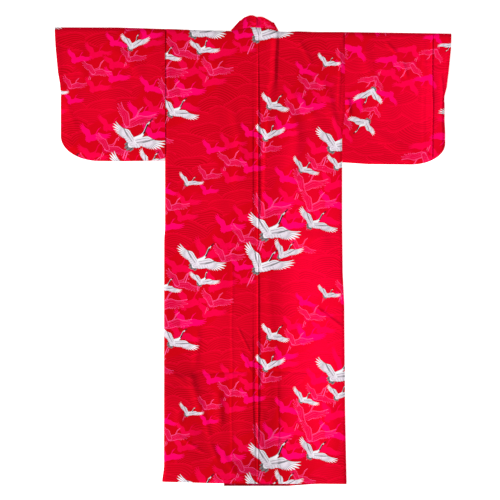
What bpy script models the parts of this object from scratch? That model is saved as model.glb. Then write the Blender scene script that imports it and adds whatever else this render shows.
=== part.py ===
"""Woman's unlined cotton yukata, laid out flat on its front with the back up.

Metres. X runs across the sleeves, Y from hem to collar, Z up from the floor. The origin is the
middle of the garment's outline, on the floor. Every panel is one cloth wall. Distances named d are
measured from the centre back seam towards the panel's own side, so both halves share their code.
"""

import math

import bmesh
import bpy

# Cloth
CLOTH_WALL = 0.0010
BAND_WALL = 0.0016  # the collar band is folded double
SEAM_GAP = 0.0003
CLOTH_COLOUR = (0.72, 0.004, 0.030, 1.0)
CLOTH_ROUGHNESS = 0.78

# Cut
FRONT_WIDTH = 0.254  # front body panel, side seam to overlap seam
OVERLAP_WIDTH = 0.155  # tapered front overlap panel, at the hem
BAND_WIDTH = 0.055  # finished collar
OVERLAP_TIP_DROP = 0.23  # shoulder fold down to the top of the overlap panel
FRONT_EDGE = 0.775  # hem up to the lower end of the collar
CUFF_OPENING = 0.23
ROW_LEAST = 0.03  # rows of a panel lie no closer than this beside a sleeve's lower end
ARMHOLE = 0.27  # sleeve sewn to the body over this length
NECK_RISE = 0.0145  # back neckline at the seam, above the shoulder fold

# Lay-out on the floor
SEAM_X = 0.012  # centre back seam
SHOULDER_Y = 0.736
HEM_Y = -0.7865
FRONT_HEM_Y = -0.7925  # the fronts show a little below the back
SHOULDER_FOLD = ((-0.67, 0.7515), (-0.45, 0.7510), (-0.30, 0.7460), (-0.08, 0.7375), (0.10, SHOULDER_Y),
                 (0.31, 0.7355), (0.45, 0.7335), (0.67, 0.7300))  # (x, y)
BACK_HEM = ((-0.31, -0.7795), (-0.15, -0.7855), (0.02, HEM_Y), (0.32, -0.7895))  # (x, y)
FRONT_HEM = ((-0.31, -0.778), (-0.16, -0.784), (-0.10, FRONT_HEM_Y), (0.12, FRONT_HEM_Y), (0.20, -0.790),
             (0.25, -0.788), (0.32, -0.788))  # (x, y)

# What differs between the wearer's left, which lies at -X, and right. Tables hold (y, d).
SIDES = {
    "left": {
        "sign": -1,
        "neck": 0.086,
        "shoulder": 0.309,
        "side": ((-0.786, 0.319), (-0.74, 0.3125), (0.03, 0.312), (0.07, 0.309), (0.75, 0.309)),
        "furi_gap": 0.0024,  # sleeve edge left free below the armhole, away from the body here
        "cuff": ((0.30, 0.660), (0.52, 0.660), (0.56, 0.663), (0.60, 0.670), (0.69, 0.6785), (0.75, 0.6815)),
        "sleeve_bottom": ((0.30, 0.303), (0.45, 0.301), (0.66, 0.303)),  # (d, y)
        "corner": (0.13, 0.083),  # rounded lower corner, across and up
    },
    "right": {
        "sign": 1,
        "neck": 0.074,
        "shoulder": 0.299,
        "side": ((-0.786, 0.304), (-0.69, 0.302), (-0.54, 0.299), (-0.18, 0.296), (-0.08, 0.291),
                 (0.10, 0.289), (0.38, 0.289), (0.466, 0.299), (0.75, 0.299)),
        "furi_gap": 0.0006,
        "cuff": ((0.28, 0.636), (0.40, 0.636), (0.44, 0.634), (0.52, 0.634), (0.55, 0.642), (0.60, 0.648),
                 (0.68, 0.656), (0.75, 0.658)),
        "sleeve_bottom": ((0.29, 0.297), (0.38, 0.2910), (0.64, 0.2890)),  # (d, y)
        "corner": (0.115, 0.070),
    },
}

# Heights of the middle of each wall above the floor. The left front lies lowest, as it is outermost
# when worn. The right front steps up over its edge, and the back swells over both collar bands.
LEFT_FRONT_Z = CLOTH_WALL / 2
RIGHT_STEP = BAND_WALL + SEAM_GAP
STEP_OVER = (0.112, 0.142)  # d where the right front has stepped up, and where the step starts
BACK_SIDE_Z = CLOTH_WALL + SEAM_GAP + CLOTH_WALL / 2
BACK_SWELL = 2 * RIGHT_STEP - CLOTH_WALL - SEAM_GAP
SWELL_REACH = {"left": (0.120, 0.190), "right": (0.130, 0.200)}  # d at full height, and at its foot
LEFT_BAND_Z = BAND_WALL / 2
RIGHT_BAND_Z = RIGHT_STEP + BAND_WALL / 2
BACK_BAND_Z = 2 * RIGHT_STEP + BAND_WALL / 2

# Largest folds of the back. The press line runs down from the side of the neck. Tables hold (y, value).
PRESS_LINE = {
    "left": ((-0.79, 0.0825), (0.07, 0.083), (0.40, 0.086), (0.76, 0.086)),
    "right": ((-0.79, 0.0725), (-0.40, 0.0725), (0.10, 0.035), (0.406, 0.029), (0.551, 0.035),
              (0.716, 0.071), (0.735, 0.074), (0.76, 0.074)),
}
PRESS_HEIGHT = {
    "left": ((-0.79, 0.0006), (0.07, 0.0004), (0.20, 0.0)),
    "right": ((-0.79, 0.0006), (-0.40, 0.0006), (-0.20, 0.0002), (0.25, 0.0003), (0.38, 0.0012),
              (0.47, 0.0028), (0.56, 0.0042), (0.70, 0.0042), (0.738, 0.0012)),
}
PRESS_FOOT = 0.028  # gentle side of the fold, towards the seam
PRESS_DROP = 0.006  # steep side
SEAM_RIDGE = 0.0012  # seam allowance pressed under the centre back seam
SEAM_RIDGE_FLAT = 0.0045
SEAM_RIDGE_FOOT = 0.010
CROSS_CREASE_Y = -0.411  # storage crease across the back
CROSS_CREASE = 0.0011
CROSS_CREASE_FOOT = 0.016
# Broad soft swells of the cloth: panel, d, y, half width, half length, height
SWELLS = (
    ("left", 0.235, -0.62, 0.070, 0.110, 0.0022),
    ("left", 0.150, -0.10, 0.110, 0.200, 0.0012),
    ("left", 0.200, 0.42, 0.090, 0.170, 0.0014),
    ("right", 0.190, -0.08, 0.080, 0.330, 0.0026),
    ("right", 0.205, 0.47, 0.060, 0.150, 0.0018),
    ("right", 0.150, -0.60, 0.090, 0.120, 0.0012),
)
# Soft folds of the sleeves' upper layer: sleeve, d and y at both ends, half width, height
SLEEVE_FOLDS = (
    ("left", 0.47, 0.74, 0.50, 0.33, 0.060, 0.0018),
    ("left", 0.615, 0.72, 0.610, 0.42, 0.030, 0.0014),
    ("right", 0.592, 0.70, 0.586, 0.34, 0.022, 0.0024),
    ("right", 0.43, 0.72, 0.45, 0.34, 0.055, 0.0018),
)

# Collar round the back neck. Each rung runs from the neckline seam to the band's free edge:
# share of the way from the centre to the neck point, rung angle (90 is straight up), length, lift
BACK_RUNGS = {
    "left": ((0.0, 90, 0.0350, 0.0030), (0.14, 88, 0.0400, 0.0034), (0.29, 84, 0.0418, 0.0034),
             (0.65, 70, 0.0425, 0.0024), (1.0, 50, 0.0480, 0.0)),
    "right": ((0.0, 90, 0.0350, 0.0030), (0.29, 88, 0.0365, 0.0034), (0.65, 68, 0.0395, 0.0024),
              (1.0, 50, 0.0480, 0.0)),
}
NECK_LIFT = 0.0032  # band's seam corner above the shoulder fold, clear of the fold's own bulge
NECK_INSET = 0.0010
BAND_GAP = 0.00045  # the lifted band's lower corner leans towards the neckline by the difference
FAN_LENGTH = 0.09  # the band turns from the neck's slant to level over this much of the front


def mix(a, b, share):
    return a + (b - a) * share


def smooth(share):
    share = min(max(share, 0.0), 1.0)
    return share * share * (3 - 2 * share)


def along(table, at):
    """Value of a two-column table, in straight lines between its rows."""
    if at <= table[0][0]:
        return table[0][1]
    for (x0, v0), (x1, v1) in zip(table, table[1:]):
        if at <= x1:
            return mix(v0, v1, (at - x0) / (x1 - x0))
    return table[-1][1]


def spaced(start, end, count):
    """Values from just after start to end."""
    return [mix(start, end, (i + 1) / count) for i in range(count)]


def to_x(side, d):
    return SEAM_X + SIDES[side]["sign"] * d


def shoulder_y(side, d):
    return along(SHOULDER_FOLD, to_x(side, d))


def swell_share(side, d):
    full, foot = SWELL_REACH[side]
    return smooth((foot - d) / (foot - full))


def back_top(side, d):
    """Upper end of the back: the shoulder fold, and inside the neck point the raised neckline."""
    neck = SIDES[side]["neck"]
    if d >= neck:
        return shoulder_y(side, d)
    return shoulder_y(side, neck) + NECK_RISE * (1 - (d / neck) ** 2)


def press_share(gap):
    """Profile across the press line: a long slope towards the seam and a steep drop outwards."""
    if gap < 0:
        return smooth(1 + gap / PRESS_FOOT)
    return smooth(1 - gap / PRESS_DROP)


def back_relief(side, d, y):
    height = SEAM_RIDGE * smooth((SEAM_RIDGE_FOOT - d) / (SEAM_RIDGE_FOOT - SEAM_RIDGE_FLAT))
    height += along(PRESS_HEIGHT[side], y) * press_share(d - along(PRESS_LINE[side], y))
    height += CROSS_CREASE * smooth(1 - abs(y - CROSS_CREASE_Y) / CROSS_CREASE_FOOT)
    for panel, centre_d, centre_y, half_width, half_length, rise in SWELLS:
        if panel == side:
            away = math.hypot((d - centre_d) / half_width, (y - centre_y) / half_length)
            height += rise * smooth(1 - away)
    return height


def back_columns(side, y):
    """Distances from the seam of the back's columns at height y, and the neck column's index."""
    full, foot = SWELL_REACH[side]
    press = along(PRESS_LINE[side], y)
    inner = [SEAM_GAP / 2, SEAM_RIDGE_FLAT, SEAM_RIDGE_FOOT]
    inner += spaced(SEAM_RIDGE_FOOT, press, 4)
    outer = [press + PRESS_DROP]
    outer += spaced(press + PRESS_DROP, full, 2)
    outer += spaced(full, foot, 3)
    outer += spaced(foot, along(SIDES[side]["side"], y), 4)
    return inner + outer, len(inner) - 1


def back_rows():
    """Shares of the way from hem to shoulder, closer together where the folds are."""
    heights = [HEM_Y]
    heights += spaced(HEM_Y, CROSS_CREASE_Y - CROSS_CREASE_FOOT, 5)
    heights += [CROSS_CREASE_Y, CROSS_CREASE_Y + CROSS_CREASE_FOOT]
    heights += spaced(heights[-1], SHOULDER_Y - ARMHOLE, 10)
    heights += spaced(heights[-1], SHOULDER_Y, 8)
    return [(height - HEM_Y) / (SHOULDER_Y - HEM_Y) for height in heights]


def row_height(side, share):
    """Height of a row of the back where it meets the side seam."""
    x = to_x(side, SIDES[side]["shoulder"])
    return mix(along(BACK_HEM, x), along(SHOULDER_FOLD, x), share)


def front_edge_d(side, y):
    """Inner edge of the front body panel, from the neck point to the overlap seam."""
    size = SIDES[side]
    seam = size["shoulder"] - FRONT_WIDTH
    drop = shoulder_y(side, size["neck"]) - y
    return mix(size["neck"], seam, min(max(drop / OVERLAP_TIP_DROP, 0), 1))


def collar_end_y(side):
    return along(FRONT_HEM, to_x(side, -OVERLAP_WIDTH / 2)) + FRONT_EDGE


def neckline_d(side, y):
    """Seam between the front and the collar band, below the neck point."""
    seam = SIDES[side]["shoulder"] - FRONT_WIDTH
    tip = shoulder_y(side, SIDES[side]["neck"]) - OVERLAP_TIP_DROP
    if y >= tip:
        return front_edge_d(side, y)
    end = seam - OVERLAP_WIDTH + BAND_WIDTH
    return mix(seam, end, (tip - y) / (tip - collar_end_y(side)))


def front_z(side, d):
    if side == "left":
        return LEFT_FRONT_Z
    over, foot = STEP_OVER
    return LEFT_FRONT_Z + RIGHT_STEP * smooth((foot - d) / (foot - over))


def add_points(mesh, side, rows):
    """Vertices of a grid, from rows of (d, y, z)."""
    return [[mesh.verts.new((to_x(side, d), y, z)) for d, y, z in row] for row in rows]


def add_faces(mesh, grid):
    for row, above in zip(grid, grid[1:]):
        for i in range(len(row) - 1):
            mesh.faces.new((row[i], row[i + 1], above[i + 1], above[i]))


def join_layers(mesh, upper, lower, outward):
    """Bends the cloth round between two layers along a joined edge, bulging outwards by half its height."""
    bend = []
    for i, (top, low) in enumerate(zip(upper, lower)):
        before = upper[max(i - 1, 0)].co
        after = upper[min(i + 1, len(upper) - 1)].co
        run = (after - before).normalized()
        reach = outward * (top.co.z - low.co.z) / 2
        middle = (top.co + low.co) / 2
        bend.append(mesh.verts.new((middle.x + run.y * reach, middle.y - run.x * reach, middle.z)))
    add_faces(mesh, [upper, bend, lower])
    return bend


def finish_panel(name, mesh, wall):
    """Turns a middle surface into an object with the cloth's wall and colour."""
    bmesh.ops.remove_doubles(mesh, verts=mesh.verts, dist=SEAM_GAP / 10)
    bmesh.ops.recalc_face_normals(mesh, faces=mesh.faces)
    data = bpy.data.meshes.new(name)
    mesh.to_mesh(data)
    mesh.free()
    panel = bpy.data.objects.new(name, data)
    bpy.context.scene.collection.objects.link(panel)
    solidify = panel.modifiers.new("Wall", "SOLIDIFY")
    solidify.thickness = wall
    solidify.offset = 0
    solidify.use_even_offset = True
    solidify.use_quality_normals = True
    cloth = bpy.data.materials.new(f"{name} cotton")
    cloth.use_nodes = True
    shader = cloth.node_tree.nodes["Principled BSDF"]
    shader.inputs["Base Color"].default_value = CLOTH_COLOUR
    shader.inputs["Roughness"].default_value = CLOTH_ROUGHNESS
    data.materials.append(cloth)
    return panel


def body_panel(side):
    """Half the body: one length of cloth from the back hem over the shoulder fold to the front hem."""
    mesh = bmesh.new()
    size = SIDES[side]
    back = []
    for share in back_rows():
        columns, neck = back_columns(side, row_height(side, share))
        row = []
        for d in columns:
            y = mix(along(BACK_HEM, to_x(side, d)), back_top(side, d), share)
            z = BACK_SIDE_Z + BACK_SWELL * swell_share(side, d) + back_relief(side, d, y)
            row.append((d, y, z))
        back.append(row)
    upper = add_points(mesh, side, back)
    add_faces(mesh, upper)

    shoulder = [point[0] for point in back[-1][neck:]]
    tip = shoulder_y(side, size["neck"]) - OVERLAP_TIP_DROP
    heights = [shoulder_y(side, size["neck"])]
    heights += spaced(heights[0], tip, 3)
    beside = [row_height(side, share) for share in back_rows()]
    low = size["sleeve_bottom"][0][1] + ROW_LEAST
    heights += [y for y in reversed(beside) if low < y < tip - ROW_LEAST]
    heights += spaced(heights[-1], FRONT_HEM_Y, 5)
    front = []
    for height in heights:
        share = (height - heights[-1]) / (heights[0] - heights[-1])
        inner = front_edge_d(side, height)
        outer = along(size["side"], height)
        row = []
        for d in shoulder:
            d = mix(inner, outer, (d - shoulder[0]) / (shoulder[-1] - shoulder[0]))
            y = mix(along(FRONT_HEM, to_x(side, d)), shoulder_y(side, d), share)
            row.append((d, y, front_z(side, d)))
        front.append(row)
    lower = add_points(mesh, side, front)
    add_faces(mesh, lower)
    join_layers(mesh, upper[-1][neck:], lower[0], -size["sign"])
    return finish_panel(f"body_{side}", mesh, CLOTH_WALL)


def overlap_panel(side):
    """Tapered front overlap, from the hem to its tip beside the neck, stepped in under the collar's end."""
    mesh = bmesh.new()
    size = SIDES[side]
    seam = size["shoulder"] - FRONT_WIDTH
    end = collar_end_y(side)
    tip = shoulder_y(side, size["neck"]) - OVERLAP_TIP_DROP
    z = front_z(side, seam)
    hem = along(FRONT_HEM, to_x(side, 0))
    edges = [(y, seam - OVERLAP_WIDTH) for y in [hem] + spaced(hem, end - 2 * SEAM_GAP, 4)]
    edges += [(y, neckline_d(side, y) + SEAM_GAP) for y in [end - SEAM_GAP] + spaced(end, tip - 0.03, 4)]
    rows = []
    for y, outer in edges:
        across = [mix(seam - SEAM_GAP, outer, i / 4) for i in range(5)]
        rows.append([(d, along(FRONT_HEM, to_x(side, d)) if y == hem else y, z) for d in across])
    add_faces(mesh, add_points(mesh, side, rows))
    return finish_panel(f"okumi_{side}", mesh, CLOTH_WALL)


def sleeve_columns(side):
    """Distance and lower end of each column at the bottom of the sleeve, armhole first."""
    size = SIDES[side]
    cuff = size["cuff"][0][1]
    across, up = size["corner"]
    inner = along(size["side"], size["sleeve_bottom"][0][1]) + size["furi_gap"]
    columns = [(d, along(size["sleeve_bottom"], d)) for d in [inner] + spaced(inner, cuff - across, 7)]
    bottom = columns[-1][1]
    for i in range(1, 8):
        turn = math.radians(90 * i / 7)
        columns.append((cuff - across * (1 - math.sin(turn)), bottom + up * (1 - math.cos(turn))))
    return columns


def sleeve_relief(side, d, y):
    height = 0
    for sleeve, d0, y0, d1, y1, half_width, rise in SLEEVE_FOLDS:
        if sleeve == side:
            run = (y0 - y) / (y0 - y1)
            ends = smooth(run / 0.3) * smooth((1 - run) / 0.3) if 0 < run < 1 else 0
            height += rise * ends * smooth(1 - abs(d - mix(d0, d1, run)) / half_width)
    return height


def armhole_d(side, y):
    """Inner edge of the sleeve: sewn to the body over the armhole, and free below it."""
    size = SIDES[side]
    drop = shoulder_y(side, size["shoulder"]) - ARMHOLE - y
    gap = mix(SEAM_GAP, size["furi_gap"], smooth(drop / 0.10))
    return along(size["side"], y) + gap


def sleeve(side):
    """Sleeve: one length of cloth folded along the top, sewn round the bottom and up to the cuff opening."""
    mesh = bmesh.new()
    size = SIDES[side]
    columns = sleeve_columns(side)
    inner, outer = columns[0][0], columns[-1][0]
    bottom, top = columns[0][1], row_height(side, 1)
    beside = [row_height(side, share) for share in back_rows()]
    shares = [0] + [(y - bottom) / (top - bottom) for y in beside if y > bottom + ROW_LEAST]
    plan = []
    for share in shares:
        row = []
        for d_low, y_low in columns:
            y = mix(y_low, shoulder_y(side, d_low), share)
            across = (d_low - inner) / (outer - inner)
            row.append((mix(armhole_d(side, y), along(size["cuff"], y), across), y))
        plan.append(row)
    upper = [[(d, y, BACK_SIDE_Z + sleeve_relief(side, d, y)) for d, y in row] for row in plan]
    lower = [[(d, y, LEFT_FRONT_Z) for d, y in row] for row in plan]
    upper = add_points(mesh, side, upper)
    lower = add_points(mesh, side, lower)
    add_faces(mesh, upper)
    add_faces(mesh, lower)
    join_layers(mesh, upper[-1], lower[-1], -size["sign"])
    cuff_low = shoulder_y(side, outer) - CUFF_OPENING
    sewn = [i for i, row in enumerate(plan) if 0 < i and row[-1][1] < cuff_low + ROW_LEAST]
    sewn_upper = upper[0] + [upper[i][-1] for i in sewn]
    sewn_lower = lower[0] + [lower[i][-1] for i in sewn]
    join_layers(mesh, sewn_upper, sewn_lower, size["sign"])
    return finish_panel(f"sleeve_{side}", mesh, CLOTH_WALL)


def rung(side, d, y, angle, length, z, lift=0.0):
    """Line across the collar band, from its seam to its free edge, as (x, y, z) points."""
    turn = math.radians(angle)
    points = []
    for share in (0, 0.5, 1):
        reach = length * share
        points.append((to_x(side, d - reach * math.cos(turn)), y + reach * math.sin(turn), z + lift * share))
    return points


def front_rungs(side, z):
    """Rungs of the band down one front, from its lower end up to the neck point."""
    neck = SIDES[side]["neck"]
    shoulder = shoulder_y(side, neck)
    _, angle, neck_length, _ = BACK_RUNGS[side][-1]
    heights = [collar_end_y(side)]
    heights += spaced(heights[0], shoulder - OVERLAP_TIP_DROP, 8)
    heights += spaced(heights[-1], shoulder - FAN_LENGTH, 3)
    heights += spaced(heights[-1], shoulder - NECK_LIFT, 8)
    rungs = []
    for y in heights:
        share = smooth(1 - (shoulder - y) / FAN_LENGTH)
        length = mix(BAND_WIDTH, neck_length, share)
        rungs.append(rung(side, neckline_d(side, y) - SEAM_GAP, y, angle * share, length, z))
    return rungs


def neck_rung(side, z, push=0.0):
    """Rung on the fold at the side of the neck, pushed out from it for the bend of the band."""
    neck = SIDES[side]["neck"]
    _, angle, length, lift = BACK_RUNGS[side][-1]
    turn = math.radians(angle)
    d = neck - NECK_INSET + push * math.sin(turn)
    y = shoulder_y(side, neck) + NECK_LIFT + push * math.cos(turn)
    return rung(side, d, y, angle, length, z, lift)


def back_rungs(side):
    """Rungs of the band over one half of the back neckline, from the neck point to the centre."""
    columns, neck_index = back_columns(side, row_height(side, 1))
    neck = SIDES[side]["neck"]
    rungs = []
    for d in reversed(columns[:neck_index]):
        share = d / neck
        tables = [[(row[0], row[i]) for row in BACK_RUNGS[side]] for i in (1, 2, 3)]
        angle, length, lift = (along(table, share) for table in tables)
        rungs.append(rung(side, d, back_top(side, d) + BAND_GAP, angle, length, BACK_BAND_Z, lift))
    return rungs


def collar():
    """Collar: one band up the left front, round the back neck and down the right front."""
    mesh = bmesh.new()
    rungs = []
    for side, front_level in (("left", LEFT_BAND_Z), ("right", RIGHT_BAND_Z)):
        half = front_rungs(side, front_level)
        half.append(neck_rung(side, front_level))
        bulge = (BACK_BAND_Z - front_level) / 2
        half.append(neck_rung(side, front_level + bulge, bulge))
        half.append(neck_rung(side, BACK_BAND_Z))
        half += back_rungs(side)
        rungs += half if side == "left" else reversed(half)
    add_faces(mesh, [[mesh.verts.new(point) for point in row] for row in rungs])
    return finish_panel("collar", mesh, BAND_WALL)


def main():
    for old in list(bpy.data.objects):
        bpy.data.objects.remove(old, do_unlink=True)
    for side in SIDES:
        body_panel(side)
        overlap_panel(side)
        sleeve(side)
    collar()


main()
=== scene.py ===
import math
from functools import partial

import bmesh
import bpy
import numpy as np
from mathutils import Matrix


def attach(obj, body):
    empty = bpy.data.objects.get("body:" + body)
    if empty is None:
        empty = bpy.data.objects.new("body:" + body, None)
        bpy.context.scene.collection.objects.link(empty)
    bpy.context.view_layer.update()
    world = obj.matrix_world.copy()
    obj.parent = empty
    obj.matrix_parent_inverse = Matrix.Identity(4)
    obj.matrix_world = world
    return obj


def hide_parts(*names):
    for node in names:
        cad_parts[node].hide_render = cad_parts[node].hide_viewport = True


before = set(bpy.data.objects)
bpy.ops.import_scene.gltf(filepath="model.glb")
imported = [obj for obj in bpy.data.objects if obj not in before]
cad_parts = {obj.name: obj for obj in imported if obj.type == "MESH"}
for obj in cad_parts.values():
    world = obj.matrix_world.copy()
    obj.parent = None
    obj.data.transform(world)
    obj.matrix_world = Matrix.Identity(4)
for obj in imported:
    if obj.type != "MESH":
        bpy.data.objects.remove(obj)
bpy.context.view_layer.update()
print("frame loaded:", ", ".join(sorted(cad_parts)))

cloth = {
    "wall": 0.0006,
    "bandWall": 0.0015,
    "bandRim": 0.0005,  # rounding of the folded band
    "seamGap": 0.00006,
    "lap": 0.0006,  # a sleeve laps over the body at the armhole
    "sleeveGap": 0.0002,  # between sleeve and body below the armhole
    "seamX": 0.012,  # centre back seam
    "shoulderY": 0.736,
    "frontWidth": 0.254,  # from the side seam to the overlap's seam
    "overlapWidth": 0.155,
    "bandWidth": 0.055,
    "overlapTipDrop": 0.23,
    "frontEdge": 0.775,  # hem up to the collar's lower end
    "cuffOpening": 0.23,
    "armhole": 0.27,
    "neckRise": 0.0145,  # back neckline above the shoulder fold
    "hemLift": 0.0004,
    "hemTurn": (0.021, 0.019),  # a hem is turned up double over this height
    "foldRoll": (0.010, 0.070),  # where the roll beside a fold is highest, and where it has faded
    "overlapPrint": (0.21, 0.3),  # shift of the print on the overlaps
    "tipCut": 0.03,  # the overlap ends a little below its point
    "hemCurve": 0.05,  # height over which the overlap straightens from the curved hem
    "merge": 0.00002,
    "sharpAngle": 50,
    "shoulderFold": ((-0.67, 0.7515), (-0.45, 0.7510), (-0.30, 0.7460), (-0.08, 0.7375), (0.10, 0.736),
                     (0.31, 0.7355), (0.45, 0.7335), (0.67, 0.7300)),  # x, y
    "backHem": ((-0.31, -0.7815), (-0.15, -0.7863), (0.02, -0.7870), (0.32, -0.7895)),  # x, y
    "frontHem": {  # x, y: the right front hangs a little lower
        "left": ((-0.31, -0.778), (-0.16, -0.784), (0.12, -0.786)),
        "right": ((-0.11, -0.7955), (0.12, -0.7955), (0.20, -0.790), (0.25, -0.788), (0.32, -0.788)),
    },
}

# heights of the middle of each layer above the floor
levels = {
    "leftFront": 0.0005,
    "rightStep": 0.0019,  # right front laid over the left one
    "stepOver": (0.112, 0.142),  # d where it has stepped up, and where the step starts
    "backSide": 0.0018,
    "backSwell": 0.0025,  # back lifted over both collar bands
    "swellReach": {"left": (0.12, 0.19), "right": (0.13, 0.2)},
    "leftBand": 0.0008,
    "rightBand": 0.0027,
    "backBand": 0.0046,
}

sides = {
    "left": {
        "sign": -1,
        "neck": 0.086,
        "shoulder": 0.309,
        "sleeveRounding": 0.028,
        "corner": (0.13, 0.083),  # round corner of the sleeve: across, up
        "side": ((-0.786, 0.319), (-0.74, 0.3125), (0.03, 0.312), (0.07, 0.309), (0.75, 0.309)),  # y, d
        "fineColumns": None,
        "cuff": ((0.3, 0.66), (0.52, 0.66), (0.56, 0.663), (0.6, 0.67), (0.69, 0.6785),
                 (0.75, 0.6815)),  # y, d
        "sleeveBottom": ((0.3, 0.303), (0.45, 0.301), (0.66, 0.303)),  # d, y
        "press": ((-0.79, 0.0825), (0.07, 0.083), (0.4, 0.086), (0.76, 0.086)),  # y, d of the press line
        "pressHeight": ((-0.79, 0.0006), (0.07, 0.0004), (0.2, 0.0)),
        "pressDrop": ((-0.79, 0.01), (0.76, 0.01)),  # how wide the fold falls away
        "innerColumns": 22,
        "rungs": ((0.0, 90, 0.035, 0.003), (0.14, 88, 0.04, 0.0034), (0.29, 84, 0.0418, 0.0034),
                  (0.65, 70, 0.042, 0.0024), (1.0, 48, 0.0462, 0.0)),  # share, angle, length, lift
    },
    "right": {
        "sign": 1,
        "neck": 0.074,
        "shoulder": 0.299,
        "sleeveRounding": 0.011,
        "corner": (0.115, 0.07),
        "side": ((-0.786, 0.304), (-0.69, 0.302), (-0.54, 0.299), (-0.18, 0.296), (-0.08, 0.291),
                 (0.1, 0.289), (0.38, 0.289), (0.466, 0.299), (0.75, 0.299)),
        "fineColumns": (0.573, 0.597),  # d along the sleeve's bottom, round its storage crease
        "cuff": ((0.28, 0.636), (0.4, 0.636), (0.44, 0.634), (0.52, 0.634), (0.55, 0.642), (0.6, 0.648),
                 (0.68, 0.656), (0.75, 0.658)),
        "sleeveBottom": ((0.29, 0.297), (0.38, 0.291), (0.64, 0.289)),
        "press": ((-0.79, 0.0725), (-0.4, 0.0725), (-0.05, 0.03), (0.119, 0.02), (0.237, 0.0215),
                  (0.406, 0.0253), (0.473, 0.029), (0.507, 0.037), (0.541, 0.0505), (0.575, 0.0595),
                  (0.608, 0.061), (0.642, 0.0618), (0.676, 0.064), (0.716, 0.066), (0.76, 0.07)),
        "pressDrop": ((0.42, 0.012), (0.48, 0.04), (0.545, 0.024), (0.575, 0.013), (0.61, 0.0105)),
        "innerColumns": 14,
        "pressHeight": ((-0.79, 0.0007), (-0.4, 0.0007), (-0.2, 0.0003), (0.1, 0.0002), (0.42, 0.0004),
                        (0.48, 0.0018), (0.54, 0.0038), (0.6, 0.005), (0.7, 0.0054), (0.738, 0.0014)),
        "rungs": ((0.0, 90, 0.035, 0.003), (0.1, 89, 0.0372, 0.0034), (0.29, 87, 0.0378, 0.0034),
                  (0.65, 76, 0.0336, 0.0024), (1.0, 61, 0.0328, 0.0)),
    },
}


# rows and columns of the panels' grids
grids = {
    "backRows": 400,
    "frontRows": 110,
    "frontSpread": 0.9,  # rows a little farther apart by the shoulder fold
    "seamColumns": ((0.0048, 5), (0.0145, 8)),  # d, columns
    "outerColumns": (12, 8, 13, 21, 4),
    "pressReach": 0.024,  # finer columns beyond the press line
    "sideReach": 0.008,  # and before the side seam
    "overlapRows": (60, 40),
    "overlapColumns": 30,
    "sleeveRows": 100,
    "sleeveColumns": 58,
    "cornerColumns": 28,
    "fineColumns": 24,
    "apart": 0.0006,  # columns nearer than this to a finer one are left out
    "bandRows": (60, 24, 24),
    "turnRows": 7,
}


def smooth(share):
    share = np.clip(share, 0.0, 1.0)
    return share * share * (3 - 2 * share)


def ease(at, start, end):
    # 0 up to start and 1 from end on, also where end comes before start
    return smooth((at - start) / (end - start))


def mix(a, b, share):
    return a + (b - a) * share


def along(table, at, column=1):
    return np.interp(at, [row[0] for row in table], [row[column] for row in table])


def toX(side, d):
    return cloth["seamX"] + sides[side]["sign"] * d


def shoulderAt(side, d):
    return along(cloth["shoulderFold"], toX(side, d))


# hollows beside the centre back seam, and the ridge over its allowance: y, height
seamHollows = {
    "left": ((-0.79, 0.0003), (-0.7, 0.0005), (-0.655, 0.0014), (-0.62, 0.0026), (-0.5, 0.0036),
             (-0.4, 0.0038), (-0.34, 0.003), (-0.27, 0.001), (-0.16, 0.0004), (0.08, 0.0004),
             (0.13, 0.0014), (0.18, 0.0028), (0.38, 0.0026), (0.44, 0.0012), (0.5, 0.0006), (0.74, 0.0003)),
    "right": ((-0.79, 0.0008), (-0.66, 0.001), (-0.62, 0.0018), (-0.455, 0.0028), (-0.13, 0.0026),
              (-0.06, 0.0012), (0.08, 0.001), (0.13, 0.003), (0.42, 0.003), (0.5, 0.0018), (0.6, 0.0008),
              (0.74, 0.0004)),
    "ridge": ((-0.79, 0.0005), (-0.66, 0.0008), (-0.6, 0.0016), (-0.3, 0.0014), (-0.24, 0.0008),
              (-0.09, 0.0007), (-0.05, 0.0003), (0.08, 0.0004), (0.13, 0.0014), (0.42, 0.0016),
              (0.6, 0.0012), (0.66, 0.0006), (0.74, 0.0003)),
}
# where each hollow meets its panel again: y, near end, far end
hollowEnds = {
    "left": ((-0.79, 0.002, 0.006), (-0.66, 0.002, 0.006), (-0.6, 0.006, 0.0105), (-0.5, 0.0085, 0.0135),
             (-0.3, 0.009, 0.014), (0.1, 0.008, 0.014), (0.4, 0.008, 0.015), (0.74, 0.008, 0.018)),
    "right": ((-0.79, 0.014, 0.05), (0.0, 0.014, 0.05), (0.1, 0.014, 0.027), (0.237, 0.018, 0.029),
              (0.355, 0.0205, 0.034), (0.406, 0.024, 0.038), (0.473, 0.029, 0.044), (0.54, 0.03, 0.052),
              (0.6, 0.03, 0.056), (0.74, 0.03, 0.06)),
}

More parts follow.
